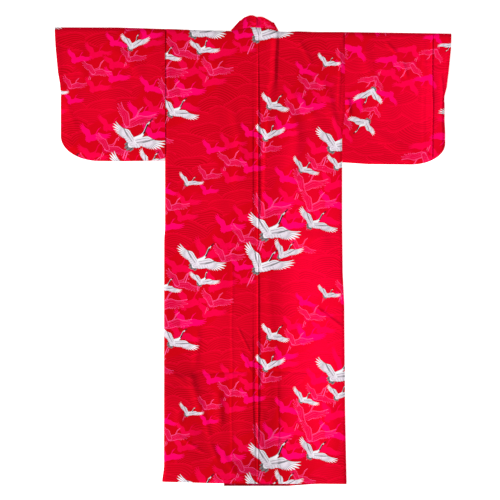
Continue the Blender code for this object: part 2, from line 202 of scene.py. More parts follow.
# creases and soft folds: x and y of both ends, then half width and height in mm
creases = {
    "body": (
        # storage creases
        (-0.0695, 0.07, -0.0725, -0.79, 3.5, 0.6), (0.085, -0.4, 0.0845, -0.79, 3.5, 0.6),
        (-0.19, -0.416, -0.004, -0.411, 5, -2), (0.025, -0.411, 0.27, -0.407, 6, -1.3),
        (-0.3, -0.438, -0.18, -0.43, 12, 1.4),
        # short creases across the panels
        (-0.054, -0.25, -0.006, -0.352, 3.4, 1.3), (-0.04, -0.33, -0.004, -0.42, 6, 1),
        (0.203, -0.192, 0.311, -0.262, 6, 2.4), (-0.179, -0.262, -0.206, -0.404, 12, 1.4),
        (-0.262, -0.62, -0.15, -0.69, 6, 1.2), (-0.205, -0.4, -0.185, -0.56, 16, 2.6),
        (-0.168, -0.54, -0.15, -0.64, 10, 1.6), (-0.29, -0.405, -0.21, -0.47, 10, 1),
        (-0.15, -0.64, -0.12, -0.72, 9, 1.4), (-0.13, -0.47, -0.1, -0.6, 16, 2.2),
        (-0.25, -0.52, -0.24, -0.6, 18, 1.8), (-0.1, -0.42, -0.12, -0.64, 24, 1.4),
        (-0.26, -0.42, -0.13, -0.5, 20, 1), (0.03, -0.52, 0.036, -0.7, 8, 0.8),
        (0.15, 0.716, 0.196, 0.62, 9, 1.3), (0.12, 0.56, 0.21, 0.42, 20, 1.2),
        (0.262, 0.56, 0.276, 0.4, 13, 1.6), (0.128, 0.5, 0.15, 0.2, 25, 2.4),
        (-0.22, 0.69, -0.09, 0.6, 22, 1), (-0.14, 0.25, -0.28, 0.17, 18, 1),
        (-0.06, 0.52, -0.045, 0.18, 20, 1.2), (0.12, 0.06, 0.26, 0.02, 24, 1.2),
        (0.15, -0.48, 0.29, -0.56, 20, 1.2), (0.09, -0.64, 0.23, -0.69, 16, 1),
        (-0.11, -0.69, -0.05, -0.76, 12, 1), (-0.115, -0.752, -0.01, -0.748, 6, 0.8),
        # along the armholes
        (0.292, 0.715, 0.291, 0.46, 4.5, 1.8), (0.24, 0.6, 0.262, 0.42, 14, 1.2),
        (-0.283, 0.73, -0.282, 0.47, 4, 0.8),
    ),
    "sleeve": (
        (0.6045, 0.85, 0.6045, 0.17, 1.8, 1.8), (0.579, 0.735, 0.576, 0.31, 4, 1),
        (0.447, 0.704, 0.488, 0.662, 5, 2), (0.498, 0.645, 0.52, 0.575, 7, 1.4),
        (0.634, 0.6, 0.641, 0.466, 4.5, 1.8), (0.318, 0.52, 0.321, 0.445, 8.5, 3),
        (0.36, 0.7, 0.45, 0.5, 24, 1.2), (0.39, 0.42, 0.52, 0.34, 20, 1), (-0.6, 0.7, -0.56, 0.56, 18, 1),
        (-0.64, 0.52, -0.6, 0.4, 12, 0.8), (-0.48, 0.69, -0.36, 0.56, 26, 1.1),
        (-0.35, 0.47, -0.48, 0.36, 22, 1.1),
    ),
}
creaseLine = {
    "wander": 0.5,  # in half widths
    "fade": 0.22,  # share of the length at each end
    "sharpness": 1.6,
    "depth": 1.45,
}

# broad soft swells: x, y, half width, half length, height
swells = (
    (-0.223, -0.62, 0.07, 0.11, 0.0022), (-0.138, -0.1, 0.11, 0.2, 0.0012),
    (-0.188, 0.42, 0.09, 0.17, 0.0014), (0.202, -0.08, 0.08, 0.33, 0.0026),
    (0.217, 0.47, 0.06, 0.15, 0.0018), (0.162, -0.6, 0.09, 0.12, 0.0012),
    (-0.47, 0.54, 0.06, 0.19, 0.0016), (-0.6, 0.57, 0.03, 0.15, 0.0012),
    (0.602, 0.52, 0.024, 0.18, 0.0022), (0.45, 0.53, 0.055, 0.19, 0.0016),
)
# half waves per metre in x and y, phase, height in mm
softWaves = ((9.0, 4.0, 0.6, 0.45), (-6.0, 11.0, 2.1, 0.39), (17.0, -13.0, 4.0, 0.24),
             (31.0, 22.0, 1.3, 0.135), (-42.0, 27.0, 5.2, 0.09), (63.0, -58.0, 0.4, 0.0525),
             (-88.0, -71.0, 2.9, 0.0375))


def creaseHeight(x, y, where):
    height = np.zeros_like(x)
    for x0, y0, x1, y1, *sizes in creases[where]:
        halfWidth, rise = (0.001 * size for size in sizes)
        length = math.hypot(x1 - x0, y1 - y0)
        runX, runY = (x1 - x0) / length, (y1 - y0) / length
        travel = (x - x0) * runX + (y - y0) * runY
        away = (x - x0) * runY - (y - y0) * runX
        # the line wanders a little and fades at both ends
        away = away + halfWidth * creaseLine["wander"] * np.sin(travel * 23.0 + x0 * 40)
        fade = creaseLine["fade"] * length
        ends = ease(travel, 0, fade) * ease(travel, length, length - fade)
        height += rise * ends * np.exp(-(away / halfWidth) ** 2 * creaseLine["sharpness"])
    return creaseLine["depth"] * height


def softCloth(x, y):
    # uneven lie of a pressed cotton, never below the layer it lies on
    height = np.zeros_like(x)
    for kx, ky, phase, rise in softWaves:
        bend = 0.8 * np.sin(kx * 1.7 * y + phase) + 0.6 * np.sin(ky * 1.3 * x - phase)
        height += 0.001 * rise * (1 + np.sin(math.pi * (kx * x + ky * y) + phase + bend)) / 2
    return height


def pucker(distance, run, depth=0.00022, pitch=0.013):
    # short wrinkles square to a seam, dying out a centimetre away from it
    fade = np.exp(-np.abs(distance) / 0.010)
    uneven = 0.6 + 0.4 * np.sin(run * 61.0 + 1.7)
    return depth * fade * uneven * (1 + np.sin(2 * math.pi * run / pitch + 2.2 * np.sin(run * 37.0)))


def swellHeight(x, y):
    height = np.zeros_like(x)
    for centreX, centreY, halfWidth, halfLength, rise in swells:
        away = np.hypot((x - centreX) / halfWidth, (y - centreY) / halfLength)
        height += rise * smooth(1 - away)
    return height


def backTop(side, d):
    neck = sides[side]["neck"]
    raised = shoulderAt(side, neck) + cloth["neckRise"] * (1 - (d / neck) ** 2)
    return np.where(d >= neck, shoulderAt(side, d), raised)


def edgeRoll(inward, rise):
    # a soft roll beside a folded edge: steepest at the edge, fading into the panel
    front, end = cloth["foldRoll"]
    near = np.clip(inward / front, 0, 1)
    return rise * (1 - (1 - near) ** 2) * (1 - 0.75 * ease(inward, front, end))


# the back beside its seam, press line, hem, fold and side seam
backForm = {
    "seamLift": 0.0003,
    "hollowLift": 0.9,  # how far the cloth by the seam stands up, in depths of its hollow
    "liftReach": (0.095, 0.030),  # d where that starts and where it is full
    "allowanceEdge": (0.0052, 0.0092),
    "climb": 0.0048,  # d where the right panel lies on the allowance
    "seamNick": (0.0009, 0.0004),  # width, depth
    "pressFoot": 0.019,
    "foldRise": 0.0024,
    "hemRound": 0.006,
    "sideRound": 0.009,
    "sideDrop": 0.0002,
}


def backHeight(side, d, y):
    size = sides[side]
    x = toX(side, d)
    full, foot = levels["swellReach"][side]
    height = levels["backSide"] + levels["backSwell"] * ease(d, foot, full)
    # hollows run along both sides of the seam, and its allowance lies under the right panel
    lift = backForm["hollowLift"]
    hollow = along(seamHollows[side], y)
    height += (backForm["seamLift"] + lift * hollow) * ease(d, *backForm["liftReach"])
    near, far = (along(hollowEnds[side], y, column) for column in (1, 2))
    low = hollow * ease(d, far, near)
    if side == "right":
        edgeNear, edgeFar = backForm["allowanceEdge"]
        # at the seam both panels stand equally high
        climb = ease(d, 0, backForm["climb"])
        seamLow = along(seamHollows["left"], y)
        low = low * ease(d, edgeNear, edgeFar) + (lift * (hollow - seamLow) + seamLow) * (1 - climb)
        height += along(seamHollows["ridge"], y) * climb * ease(d, edgeFar, edgeNear)
    nickWidth, nickDepth = backForm["seamNick"]
    height -= low + nickDepth * np.exp(-(d / nickWidth) ** 2)
    gap = d - along(size["press"], y)
    fold = np.where(gap < 0, ease(gap, -backForm["pressFoot"], 0), ease(gap, along(size["pressDrop"], y), 0))
    height += along(size["pressHeight"], y) * fold
    height += swellHeight(x, y) + creaseHeight(x, y, "body") + softCloth(x, y)
    sideD = along(size["side"], y)
    height += pucker(sideD - d, y) + pucker(d, y, 0.00016, 0.017)
    # the hem is turned up double; the shoulder fold, hem and side seam round down
    hem = along(cloth["backHem"], x)
    height += cloth["hemLift"] * ease(y - hem, *cloth["hemTurn"])
    height += edgeRoll(backTop(side, d) - y, backForm["foldRise"]) * ease(y - hem, 0, backForm["hemRound"])
    edge = ease(sideD - d, 0, backForm["sideRound"])
    return np.where(edge < 1, mix(levels["backSide"] - backForm["sideDrop"], height, edge), height)


def frontHeight(side, d):
    low = np.full_like(d, levels["leftFront"])
    over, foot = levels["stepOver"]
    return low if side == "left" else low + levels["rightStep"] * ease(d, foot, over)


# chart of the print, in squares of 3.375 mm. x counts from the centre back seam, y down from the
# shoulder fold, and the whole repeats after 230.3 squares
printChart = {
    "square": 0.003375,
    "repeat": 230.3,
    "shoulderShift": 0.0042,  # the print of the back sits a little lower at the shoulders
    "shiftFrom": (0.45, 0.65),  # y where that starts and where it is full
    "frontShift": 0.004,  # length of the fold over the shoulder
    "leftSleeve": (135.0, 90.5),  # shift of the chart on the left sleeve
    "rightSleeve": (126.0, 164.2),  # the right sleeve's length is turned round
    "rightSlant": (0.06, 68),  # columns per row, and the row that stays in place
    "bandHalves": (300.0, 360.0),  # columns where the left and right halves of the collar start
    "bandRow": 142,  # row of the collar's inner edge
}
# how each kind of crane is drawn: width of the line, and angle from feather to feather at the tip
pens = {"redPink": (0.02, 0.11), "hotPink": (0.02, 0.11), "outlined": (0.009, 0.15), "white": (0.012, 0.095)}
# white cranes: place, then left wing tip, right wing tip and beak from there in squares, y up,
# and how broad each wing is beside a fully spread one
whiteCranes = (
    (-55.0, 249.5, (-10.5, 10.5), (19.0, 1.3), (7.0, 11.0), 1.0, 0.75),
    (78.9, 113.2, (-17.0, 18.7), (29.5, 0.5), (16.5, 19.5), 1.0, 1.0),
    (82.0, 133.5, (-10.0, 11.8), (17.5, 5.0), (8.0, 11.0), 0.9, 0.75),
    (-68.0, 151.0, (-7.5, 11.5), (16.0, 1.5), (8.0, 6.5), 0.8, 0.66),
    (12.8, 199.7, (-18.3, 19.8), (32.0, 0.2), (18.2, 21.8), 1.0, 1.0),
    (-59.1, 230.6, (-17.2, 19.0), (29.2, -0.2), (16.2, 18.5), 1.0, 1.0),
    (-82.5, 79.5, (-11.5, 16.0), (25.7, -4.0), (13.0, 13.0), 0.95, 0.8),
    (-93.5, 255.0, (-8.5, 11.5), (19.5, -2.5), (10.5, 9.0), 0.9, 0.75),
    (15.5, 73.0, (-8.5, 12.5), (18.0, -3.5), (11.0, 10.0), 1.0, 0.95),
    (46.5, 137.0, (-8.0, 13.5), (17.0, -3.5), (8.5, 7.5), 0.82, 0.8),
    (56.5, 191.5, (-11.0, 17.5), (25.5, -5.0), (13.0, 12.0), 0.95, 0.76),
    (70.5, 263.0, (-7.5, 11.0), (14.5, 1.5), (7.0, 6.5), 0.9, 0.85),
    (11.0, 104.3, (-10.0, 12.5), (17.6, 9.0), (7.2, 12.4), 0.95, 0.8),
    (26.5, 222.5, (-5.5, 16.0), (21.0, 7.0), (11.0, 12.0), 0.93, 0.76),
    (4.2, 234.8, (-11.2, 25.4), (33.9, 6.9), (17.2, 16.9), 1.0, 0.77),
)
whiteSlim = 0.92  # how much slimmer their wings are printed
# cranes whose print stays out of sight in a piece's seams
seamHidden = {
    "sleeveLeftCloth": ((46.5, 137.0), (56.5, 191.5)),
    "sleeveRightCloth": ((46.5, 137.0),),
}
# the others, by kind and pose: place and width from wing tip to wing tip
flockCranes = {
    "outlined": {
        "wide": ((-27, 130, 28), (52.8, 54, 27)),
        "glide": ((-100, 105, 26), (60, 134, 28), (-13, 206, 32), (42, 215, 26), (-78, 251, 32),
                  (89, 260, 26)),
        "soar": ((-50, 144.5, 22.5), (-85.5, 175, 27), (7, 87.2, 18), (8.5, 117.2, 24), (38, 79.5, 27),
                 (-32, 226, 30), (-44, 271, 30), (-97.5, 273, 41), (-89, 292, 35)),
        "steep": ((47, 155, 32), (55, 175, 32), (7.5, 181.5, 35), (371, 138.5, 10)),
    },
    "hotPink": {
        "wide": ((89, 268, 24), (362, 141, 8)),
        "glide": ((-7, 101, 23), (-93, 158, 22), (28, 146, 26), (74, 171, 30), (47, 270, 21)),
        "soar": ((-17.5, 235.5, 22), (-71, 291.3, 30), (-45.5, 118, 23), (-50, 159.5, 18.5), (-8, 137, 25),
                 (17, 174, 30), (-30.5, 195.8, 29), (31, 194, 27), (-90, 195, 26)),
        "steep": ((49, 77, 27), (25, 96, 22)),
        "raised": ((290.3, 141.5, 15),),
    },
    "redPink": {
        "wide": ((297.5, 137, 11), (64.8, 282, 22), (65, 67, 24), (-7, 123, 26), (-31, 214, 31),
                 (-79, 236, 30), (10, 222, 24), (-14, 248, 24)),
        "glide": ((-77, 72, 32), (32, 167, 27), (-13, 185, 28), (65, 186, 30)),
        "soar": ((-74.5, 185.5, 24), (-27, 113, 26), (-27, 147, 25), (26.5, 102.2, 24), (35, 64, 23),
                 (59.5, 118, 27), (34, 184, 24), (-49, 281.5, 28), (-71, 171, 24)),
        "narrow": ((85.5, 107.5, 28),),
        "steep": ((74, 154, 28), (-51, 224, 34), (-41.5, 254.5, 30), (-69.5, 272, 31), (363.5, 138, 18),
                  (365, 133, 14)),
    },
}
# wing tips and beak of each pose, from where the wings meet, in widths, y up, and how broad the wings are
poses = {
    "wide": ((-0.37, 0.39), (0.63, 0.0), (0.35, 0.4), 1.0, 0.95),
    "glide": ((-0.31, 0.47), (0.69, -0.13), (0.36, 0.34), 0.92, 0.8),
    "soar": ((-0.29, 0.5), (0.71, 0.14), (0.35, 0.34), 0.95, 0.85),
    "steep": ((-0.21, 0.6), (0.79, 0.26), (0.41, 0.45), 0.93, 0.78),
    "raised": ((-0.12, 0.93), (0.4, 0.1), (0.32, 0.22), 0.85, 0.7),
    "narrow": ((-0.28, 0.86), (0.45, 0.2), (0.3, 0.3), 0.56, 0.6),
}


def craneRows(kind):
    if kind == "white":
        return [(*row[:5], whiteSlim * row[5], whiteSlim * row[6]) for row in whiteCranes]
    rows = []
    for pose, places in flockCranes[kind].items():
        left, right, beak, leftWidth, rightWidth = poses[pose]
        for x, y, span in places:
            tips = [(tip[0] * span, tip[1] * span) for tip in (left, right, beak)]
            rows.append((x, y, *tips, leftWidth, rightWidth))
    return rows


# painted light and shade: spots where the cloth is painted paler and pinker as a highlight, or deeper as
# shade: x, y, half width, half length, amount
paintedLightSpots = (
    (0.215, -0.16, 0.125, 0.44, 1.0), (0.23, -0.52, 0.11, 0.24, 0.65), (0.15, 0.22, 0.11, 0.2, 0.25),
    (0.5, 0.5, 0.19, 0.24, 0.62), (0.615, 0.52, 0.06, 0.3, 0.45), (-0.12, -0.3, 0.11, 0.2, 0.15),
    (-0.5, 0.5, 0.18, 0.2, 0.2), (-0.2, 0.1, 0.11, 0.3, 0.15), (-0.15, -0.65, 0.11, 0.1, -0.18),
    (0.07, -0.25, 0.04, 0.32, -0.2), (0.075, -0.56, 0.05, 0.16, -0.25), (0.215, 0.5, 0.06, 0.14, -0.1),
    (0.335, 0.45, 0.03, 0.07, -0.25), (-0.225, -0.43, 0.08, 0.05, -0.2), (-0.3, 0.55, 0.06, 0.3, -0.08),
    (-0.28, -0.25, 0.06, 0.25, -0.12), (-0.18, -0.45, 0.12, 0.14, -0.12), (0.03, -0.62, 0.05, 0.1, -0.22),
    (0.0, -0.74, 0.09, 0.04, -0.25), (0.29, -0.5, 0.02, 0.12, -0.3), (-0.058, 0.762, 0.022, 0.018, -0.45),
    (-0.43, 0.72, 0.26, 0.05, -0.13), (-0.1, 0.73, 0.16, 0.04, -0.1), (0.38, 0.72, 0.12, 0.035, -0.08),
    (0.05, -0.72, 0.26, 0.07, -0.14), (0.0135, 0.775, 0.0026, 0.02, -0.6),
    (0.0215, 0.766, 0.005, 0.008, -0.45), (-0.014, 0.779, 0.009, 0.011, -0.35),
    (-0.031, 0.772, 0.007, 0.014, -0.22), (0.285, -0.66, 0.05, 0.13, -0.26), (-0.64, 0.35, 0.04, 0.09, -0.1),
)

nowhere = 9.0  # place along and across a wing that no crane reaches
printReach = 1.6  # how far round a crane its lines are kept
flockReach = 0.48  # of a crane's width, where the waves stop round it
fullNeck = 26  # squares from wings to beak of a crane whose neck isn't thickened
# how far a crane's lines reach: half widths, and spans along the line from wings to beak
craneReach = {"wing": 0.19, "wingMiddle": 0.05, "neck": 0.03, "legs": 0.30, "bodySpan": (-0.25, 1),
              "legSpan": (-1.3, -0.3)}
# the front hem that shows below the back: x and half width of its high part, heights, y of its top, and how
# much painted shade it gets
hemStrip = {"middle": 0.01, "halfWidth": 0.115, "heights": (0.0032, 0.0016), "top": -0.74, "shade": 0.9}


def frameOf(px, py, tip):
    # place along and across a line from the wing root to tip, in lengths of that line
    square = tip[0] ** 2 + tip[1] ** 2
    return (px * tip[0] + py * tip[1]) / square, (py * tip[0] - px * tip[1]) / square


def farFrom(px, py, left, right, beak, leftWidth, rightWidth):
    # distance from a crane: about 1 along its outline, less within it
    far = np.full_like(px, nowhere)
    for tip, width, side in ((left, leftWidth, -1), (right, rightWidth, 1)):
        a, b = frameOf(px, py, tip)
        wing = np.hypot(a - np.clip(a, 0, 1), side * b / width + craneReach["wingMiddle"])
        far = np.minimum(far, wing / craneReach["wing"])
    t, o = frameOf(px, py, beak)
    neck = np.hypot(t - np.clip(t, *craneReach["bodySpan"]), o - along(craneBody["line"], t))
    neck = neck / (np.maximum(along(craneBody["half"], t), 0.0) + craneReach["neck"])
    legs = 1 + np.hypot(t - np.clip(t, *craneReach["legSpan"]), o) / craneReach["legs"]
    return np.minimum(far, np.minimum(neck, legs))


def readAll(items, name, size, kind=np.float32):
    values = np.zeros(len(items) * size, kind)
    items.foreach_get(name, values)
    return values.reshape(-1, size)


def writeAll(mesh, name, values, domain):
    kind, field = ("FLOAT_VECTOR", "vector") if values.ndim == 2 else ("FLOAT", "value")
    layer = mesh.attributes.new(name, kind, domain)
    layer.data.foreach_set(field, values.astype(np.float32).ravel())


def printOn(piece):
    # gives each face the wing and body lines of the nearest crane of each kind
    mesh = piece.data
    spot = readAll(mesh.attributes["clothPlace"].data, "vector", 3)[:, :2].astype(float)
    place = readAll(mesh.vertices, "co", 3)
    vertexOf = readAll(mesh.loops, "vertex_index", 1, np.int32)[:, 0]
    totals = readAll(mesh.polygons, "loop_total", 1, np.int32)[:, 0]
    # the strip of the front hem that shows below the back gets painted shade for the back's shadow on it, and
    # no crane falls on it
    low = np.where(np.abs(place[:, 0] - hemStrip["middle"]) < hemStrip["halfWidth"], *hemStrip["heights"])
    inStrip = (place[:, 2] < low) & (place[:, 1] < hemStrip["top"])
    faceOf = np.repeat(np.arange(len(totals)), totals)
    centre = [np.bincount(faceOf, spot[vertexOf, axis]) / totals for axis in (0, 1)]
    flock = np.zeros(len(spot))
    for kind in pens:
        nearest = np.full(len(totals), printReach)
        wings, body = (np.full((len(vertexOf), 3), nowhere, np.float32) for _ in range(2))
        for x, y, left, right, beak, leftWidth, rightWidth in craneRows(kind):
            span = math.hypot(right[0] - left[0], right[1] - left[1])
            if kind == "white" and (x, y) in seamHidden.get(piece.name, ()):
                continue
            for turn in range(-3, 3):
                row = y + turn * printChart["repeat"]
                flock += np.exp(-(np.hypot(spot[:, 0] - x, spot[:, 1] - row) / (flockReach * span)) ** 2)
                far = farFrom(centre[0] - x, row - centre[1], left, right, beak, leftWidth, rightWidth)
                faces = far < nearest
                if not faces.any():
                    continue
                nearest[faces] = far[faces]
                mine = faces[faceOf]
                px = spot[vertexOf[mine], 0] - x
                py = row - spot[vertexOf[mine], 1]
                leftAlong, leftAcross = frameOf(px, py, left)
                rightAlong, rightAcross = frameOf(px, py, right)
                bodyAlong, bodyAcross = frameOf(px, py, beak)
                wings[mine] = np.stack((leftAlong, -leftAcross / leftWidth, rightAlong), 1)
                # the neck of a small crane is drawn thicker for its size
                slim = min(1.0, (math.hypot(*beak) / fullNeck) ** 0.4)
                body[mine] = np.stack((rightAcross / rightWidth, bodyAlong, bodyAcross * slim), 1)
        if kind == "white":
            wings[inStrip[vertexOf]] = nowhere
            body[inStrip[vertexOf]] = nowhere
        writeAll(mesh, kind + "Wings", wings, "CORNER")
        writeAll(mesh, kind + "Body", body, "CORNER")
    # painted light and shade, summed from the spots: positive is painted highlight, negative is painted shade
    paintedLightShade = np.zeros(len(place))
    for x, y, halfWidth, halfLength, amount in paintedLightSpots:
        away = np.hypot((place[:, 0] - x) / halfWidth, (place[:, 1] - y) / halfLength)
        paintedLightShade += amount * np.exp(-away ** 2)
    writeAll(mesh, "paintedLightShade", np.where(inStrip, paintedLightShade - hemStrip["shade"], paintedLightShade), "POINT")
    writeAll(mesh, "flock", flock, "POINT")


def chartOf(x, s):
    # chart square of a point: x across, s up the length from the shoulder fold
    square = printChart["square"]
    return (x - cloth["seamX"]) / square + 0.5, -s / square


def addGrid(bm, x, y, z, chart):
    placeLayer = bm.verts.layers.float_vector["clothPlace"]
    points = []
    for places in zip(x, y, z, *chart):
        row = []
        for px, py, pz, column, line in zip(*places):
            point = bm.verts.new((px, py, pz))
            point[placeLayer] = (column, line, 0)
            row.append(point)
        points.append(row)
    for lower, upper in zip(points, points[1:]):
        for j in range(len(lower) - 1):
            bm.faces.new((lower[j], lower[j + 1], upper[j + 1], upper[j]))


def bendGrid(upper, lower, outX, outY, steps=4):
    # rounded edge from an upper to a lower row of points: arrays x, y, z, chartX, chartY
    turn = np.linspace(0, math.pi, steps + 2)[:, None]
    half = (upper[2] - lower[2]) / 2
    share = (1 - np.cos(turn)) / 2
    x = mix(upper[0], lower[0], share) + outX * half * np.sin(turn)
    y = mix(upper[1], lower[1], share) + outY * half * np.sin(turn)
    z = (upper[2] + lower[2]) / 2 + half * np.cos(turn)
    return x, y, z, [mix(upper[i], lower[i], turn / math.pi) for i in (3, 4)]


def startMesh():
    bm = bmesh.new()
    bm.verts.layers.float_vector.new("clothPlace")
    return bm


def applyModifier(piece, name, kind, **settings):
    modifier = piece.modifiers.new(name, kind)
    for setting, value in settings.items():
        setattr(modifier, setting, value)
    bpy.ops.object.modifier_apply(modifier=modifier.name)


def finishPiece(name, bm, wall, rim=None):
    bmesh.ops.remove_doubles(bm, verts=bm.verts, dist=cloth["merge"])
    bmesh.ops.recalc_face_normals(bm, faces=bm.faces)
    data = bpy.data.meshes.new(name)
    bm.to_mesh(data)
    bm.free()
    piece = bpy.data.objects.new(name, data)
    bpy.context.scene.collection.objects.link(piece)
    bpy.ops.object.select_all(action="DESELECT")
    piece.select_set(True)
    bpy.context.view_layer.objects.active = piece
    applyModifier(piece, "Cloth thickness", "SOLIDIFY", thickness=wall, offset=0, use_even_offset=True,
                  use_quality_normals=True)
    sharp = math.radians(cloth["sharpAngle"])
    if rim:
        applyModifier(piece, "Folded edge", "BEVEL", width=rim, segments=2, limit_method="ANGLE",
                      angle_limit=sharp)
    bpy.ops.object.shade_smooth_by_angle(angle=sharp)
    print(name, "modelled:", len(piece.data.polygons), "faces")
    return piece


def spaced(start, *stretches):
    # places from start on, through stretches given by their end and number of equal steps
    places = [start]
    for end, count in stretches:
        first = places[-1]
        places += [mix(first, end, (i + 1) / count) for i in range(count)]
    return places


def columnPlan(side, y):
    # distances of the back's columns from the seam at height y, and the index of the neck column
    size = sides[side]
    full, foot = levels["swellReach"][side]
    press = float(along(size["press"], y))
    sideD = float(along(size["side"], y))
    inner = spaced(cloth["seamGap"] / 2, *grids["seamColumns"], (press, size["innerColumns"]))
    ends = (press + grids["pressReach"], full, foot, sideD - grids["sideReach"], sideD)
    outer = spaced(press, *zip(ends, grids["outerColumns"]))
    return inner + outer[1:], len(inner) - 1


def frontPoints(side):
    # d of the overlap's seam, and heights of the neck point, the overlap's tip and the collar's end
    size = sides[side]
    top = float(shoulderAt(side, size["neck"]))
    hem = float(along(cloth["frontHem"][side], toX(side, -cloth["overlapWidth"] / 2)))
    seam = size["shoulder"] - cloth["frontWidth"]
    return seam, top, top - cloth["overlapTipDrop"], hem + cloth["frontEdge"]


def bodyPanel(side):
    size = sides[side]
    shares = np.linspace(0, 1, grids["backRows"])
    sideX = toX(side, size["shoulder"])
    sideHeights = mix(along(cloth["backHem"], sideX), along(cloth["shoulderFold"], sideX), shares)
    plans = [columnPlan(side, y) for y in sideHeights]
    neck = plans[0][1]
    d = np.array([plan[0] for plan in plans])
    x = toX(side, d)
    y = mix(along(cloth["backHem"], x), backTop(side, d), shares[:, None])
    z = backHeight(side, d, y)
    bm = startMesh()
    shift = printChart["shoulderShift"] * ease(y, *printChart["shiftFrom"])
    chart = chartOf(x, y - cloth["shoulderY"] - shift)
    addGrid(bm, x, y, z, chart)

    # front layer, from the shoulder fold to the front hem
    down = np.linspace(0, 1, grids["frontRows"])[:, None] ** grids["frontSpread"]
    seam, top, tip, _ = frontPoints(side)
    height = mix(top, min(row[1] for row in cloth["frontHem"][side]), down)
    innerD = mix(size["neck"], seam, np.clip((top - height) / (top - tip), 0, 1))
    across = (d[-1:, neck:] - d[-1, neck]) / (d[-1, -1] - d[-1, neck])
    frontD = mix(innerD, along(size["side"], height), across)
    frontX = toX(side, frontD)
    fold = shoulderAt(side, frontD)
    frontY = mix(along(cloth["frontHem"][side], frontX), fold, 1 - down)
    frontZ = frontHeight(side, frontD)
    shift = printChart["frontShift"] - printChart["shoulderShift"]
    frontChart = chartOf(frontX, 2 * fold - frontY - cloth["shoulderY"] + shift)
    addGrid(bm, frontX, frontY, frontZ, frontChart)
    upper = [grid[-1, neck:] for grid in (x, y, z, *chart)]
    lower = [grid[0] for grid in (frontX, frontY, frontZ, *frontChart)]
    addGrid(bm, *bendGrid(upper, lower, 0, 1))
    return finishPiece("body" + side.capitalize() + "Cloth", bm, cloth["wall"])


def necklineD(side, y):
    seam, top, tip, end = frontPoints(side)
    lowD = seam - cloth["overlapWidth"] + cloth["bandWidth"]
    return float(along(((end, lowD), (tip, seam), (top, sides[side]["neck"])), y))


def overlapPanel(side):
    seam, _, tip, end = frontPoints(side)
    hem = float(along(cloth["frontHem"][side], toX(side, 0)))
    gap = cloth["seamGap"]
    lowRows, highRows = grids["overlapRows"]
    edges = [(y, seam - cloth["overlapWidth"]) for y in spaced(hem, (end - 2 * gap, lowRows))]
    slant = spaced(end, (tip - cloth["tipCut"], highRows))
    edges += [(y, necklineD(side, y) + gap) for y in [end - gap] + slant[1:]]
    heights, outer = (np.array([row[i] for row in edges])[:, None] for i in (0, 1))
    d = mix(seam - gap, outer, np.linspace(0, 1, grids["overlapColumns"])[None, :])
    x = toX(side, d)
    # only the lowest rows follow the curved hem
    y = heights + (along(cloth["frontHem"][side], x) - hem) * ease(heights, hem + cloth["hemCurve"], hem)
    z = frontHeight(side, np.zeros_like(d))
    bm = startMesh()
    shiftX, shiftY = cloth["overlapPrint"]
    addGrid(bm, x, y, z, chartOf(x + shiftX * sides[side]["sign"], shiftY - y))
    return finishPiece("okumi" + side.capitalize() + "Cloth", bm, cloth["wall"])


# the sleeves beside their edges
sleeveForm = {
    "lift": 0.0016,  # above the side of the body
    "cuffHem": (0.014, 0.012),
    "topRound": 0.012,
    "openFrom": 0.03,
    "openLift": 0.0016,
    "foldRise": 0.0022,
    "freeFrom": (0.14, 0.17),  # below the armhole, where the sleeve parts from the body
    "underStart": 1 / 12,  # share of the width over which the under layer draws back from the body
}


def sleeveHeight(side, d, y, lowEdge):
    x = toX(side, d)
    inCuff = along(sides[side]["cuff"], y) - d
    fromTop = shoulderAt(side, d) - y
    height = levels["backSide"] + sleeveForm["lift"] + swellHeight(x, y) + creaseHeight(x, y, "sleeve")
    height += softCloth(x, y) + pucker(y - lowEdge, x)
    height += cloth["hemLift"] * ease(inCuff, *sleeveForm["cuffHem"])
    # edges stay down where the layers are joined, and the open cuff lifts a little
    topEdge = ease(fromTop, 0, sleeveForm["topRound"])
    rounding = sides[side]["sleeveRounding"]
    openCuff = ease(fromTop, cloth["cuffOpening"], cloth["cuffOpening"] - sleeveForm["openFrom"])
    joined = ease(y - lowEdge, 0, rounding) * mix(ease(inCuff, 0, rounding), 1, openCuff)
    lift = sleeveForm["openLift"] * openCuff * ease(inCuff, sleeveForm["openFrom"], 0)
    lift = lift * (0.7 + 0.3 * np.sin(y * 41)) * topEdge
    roll = edgeRoll(fromTop, sleeveForm["foldRise"]) * joined
    return mix(levels["backSide"], height, topEdge * joined) + lift + roll


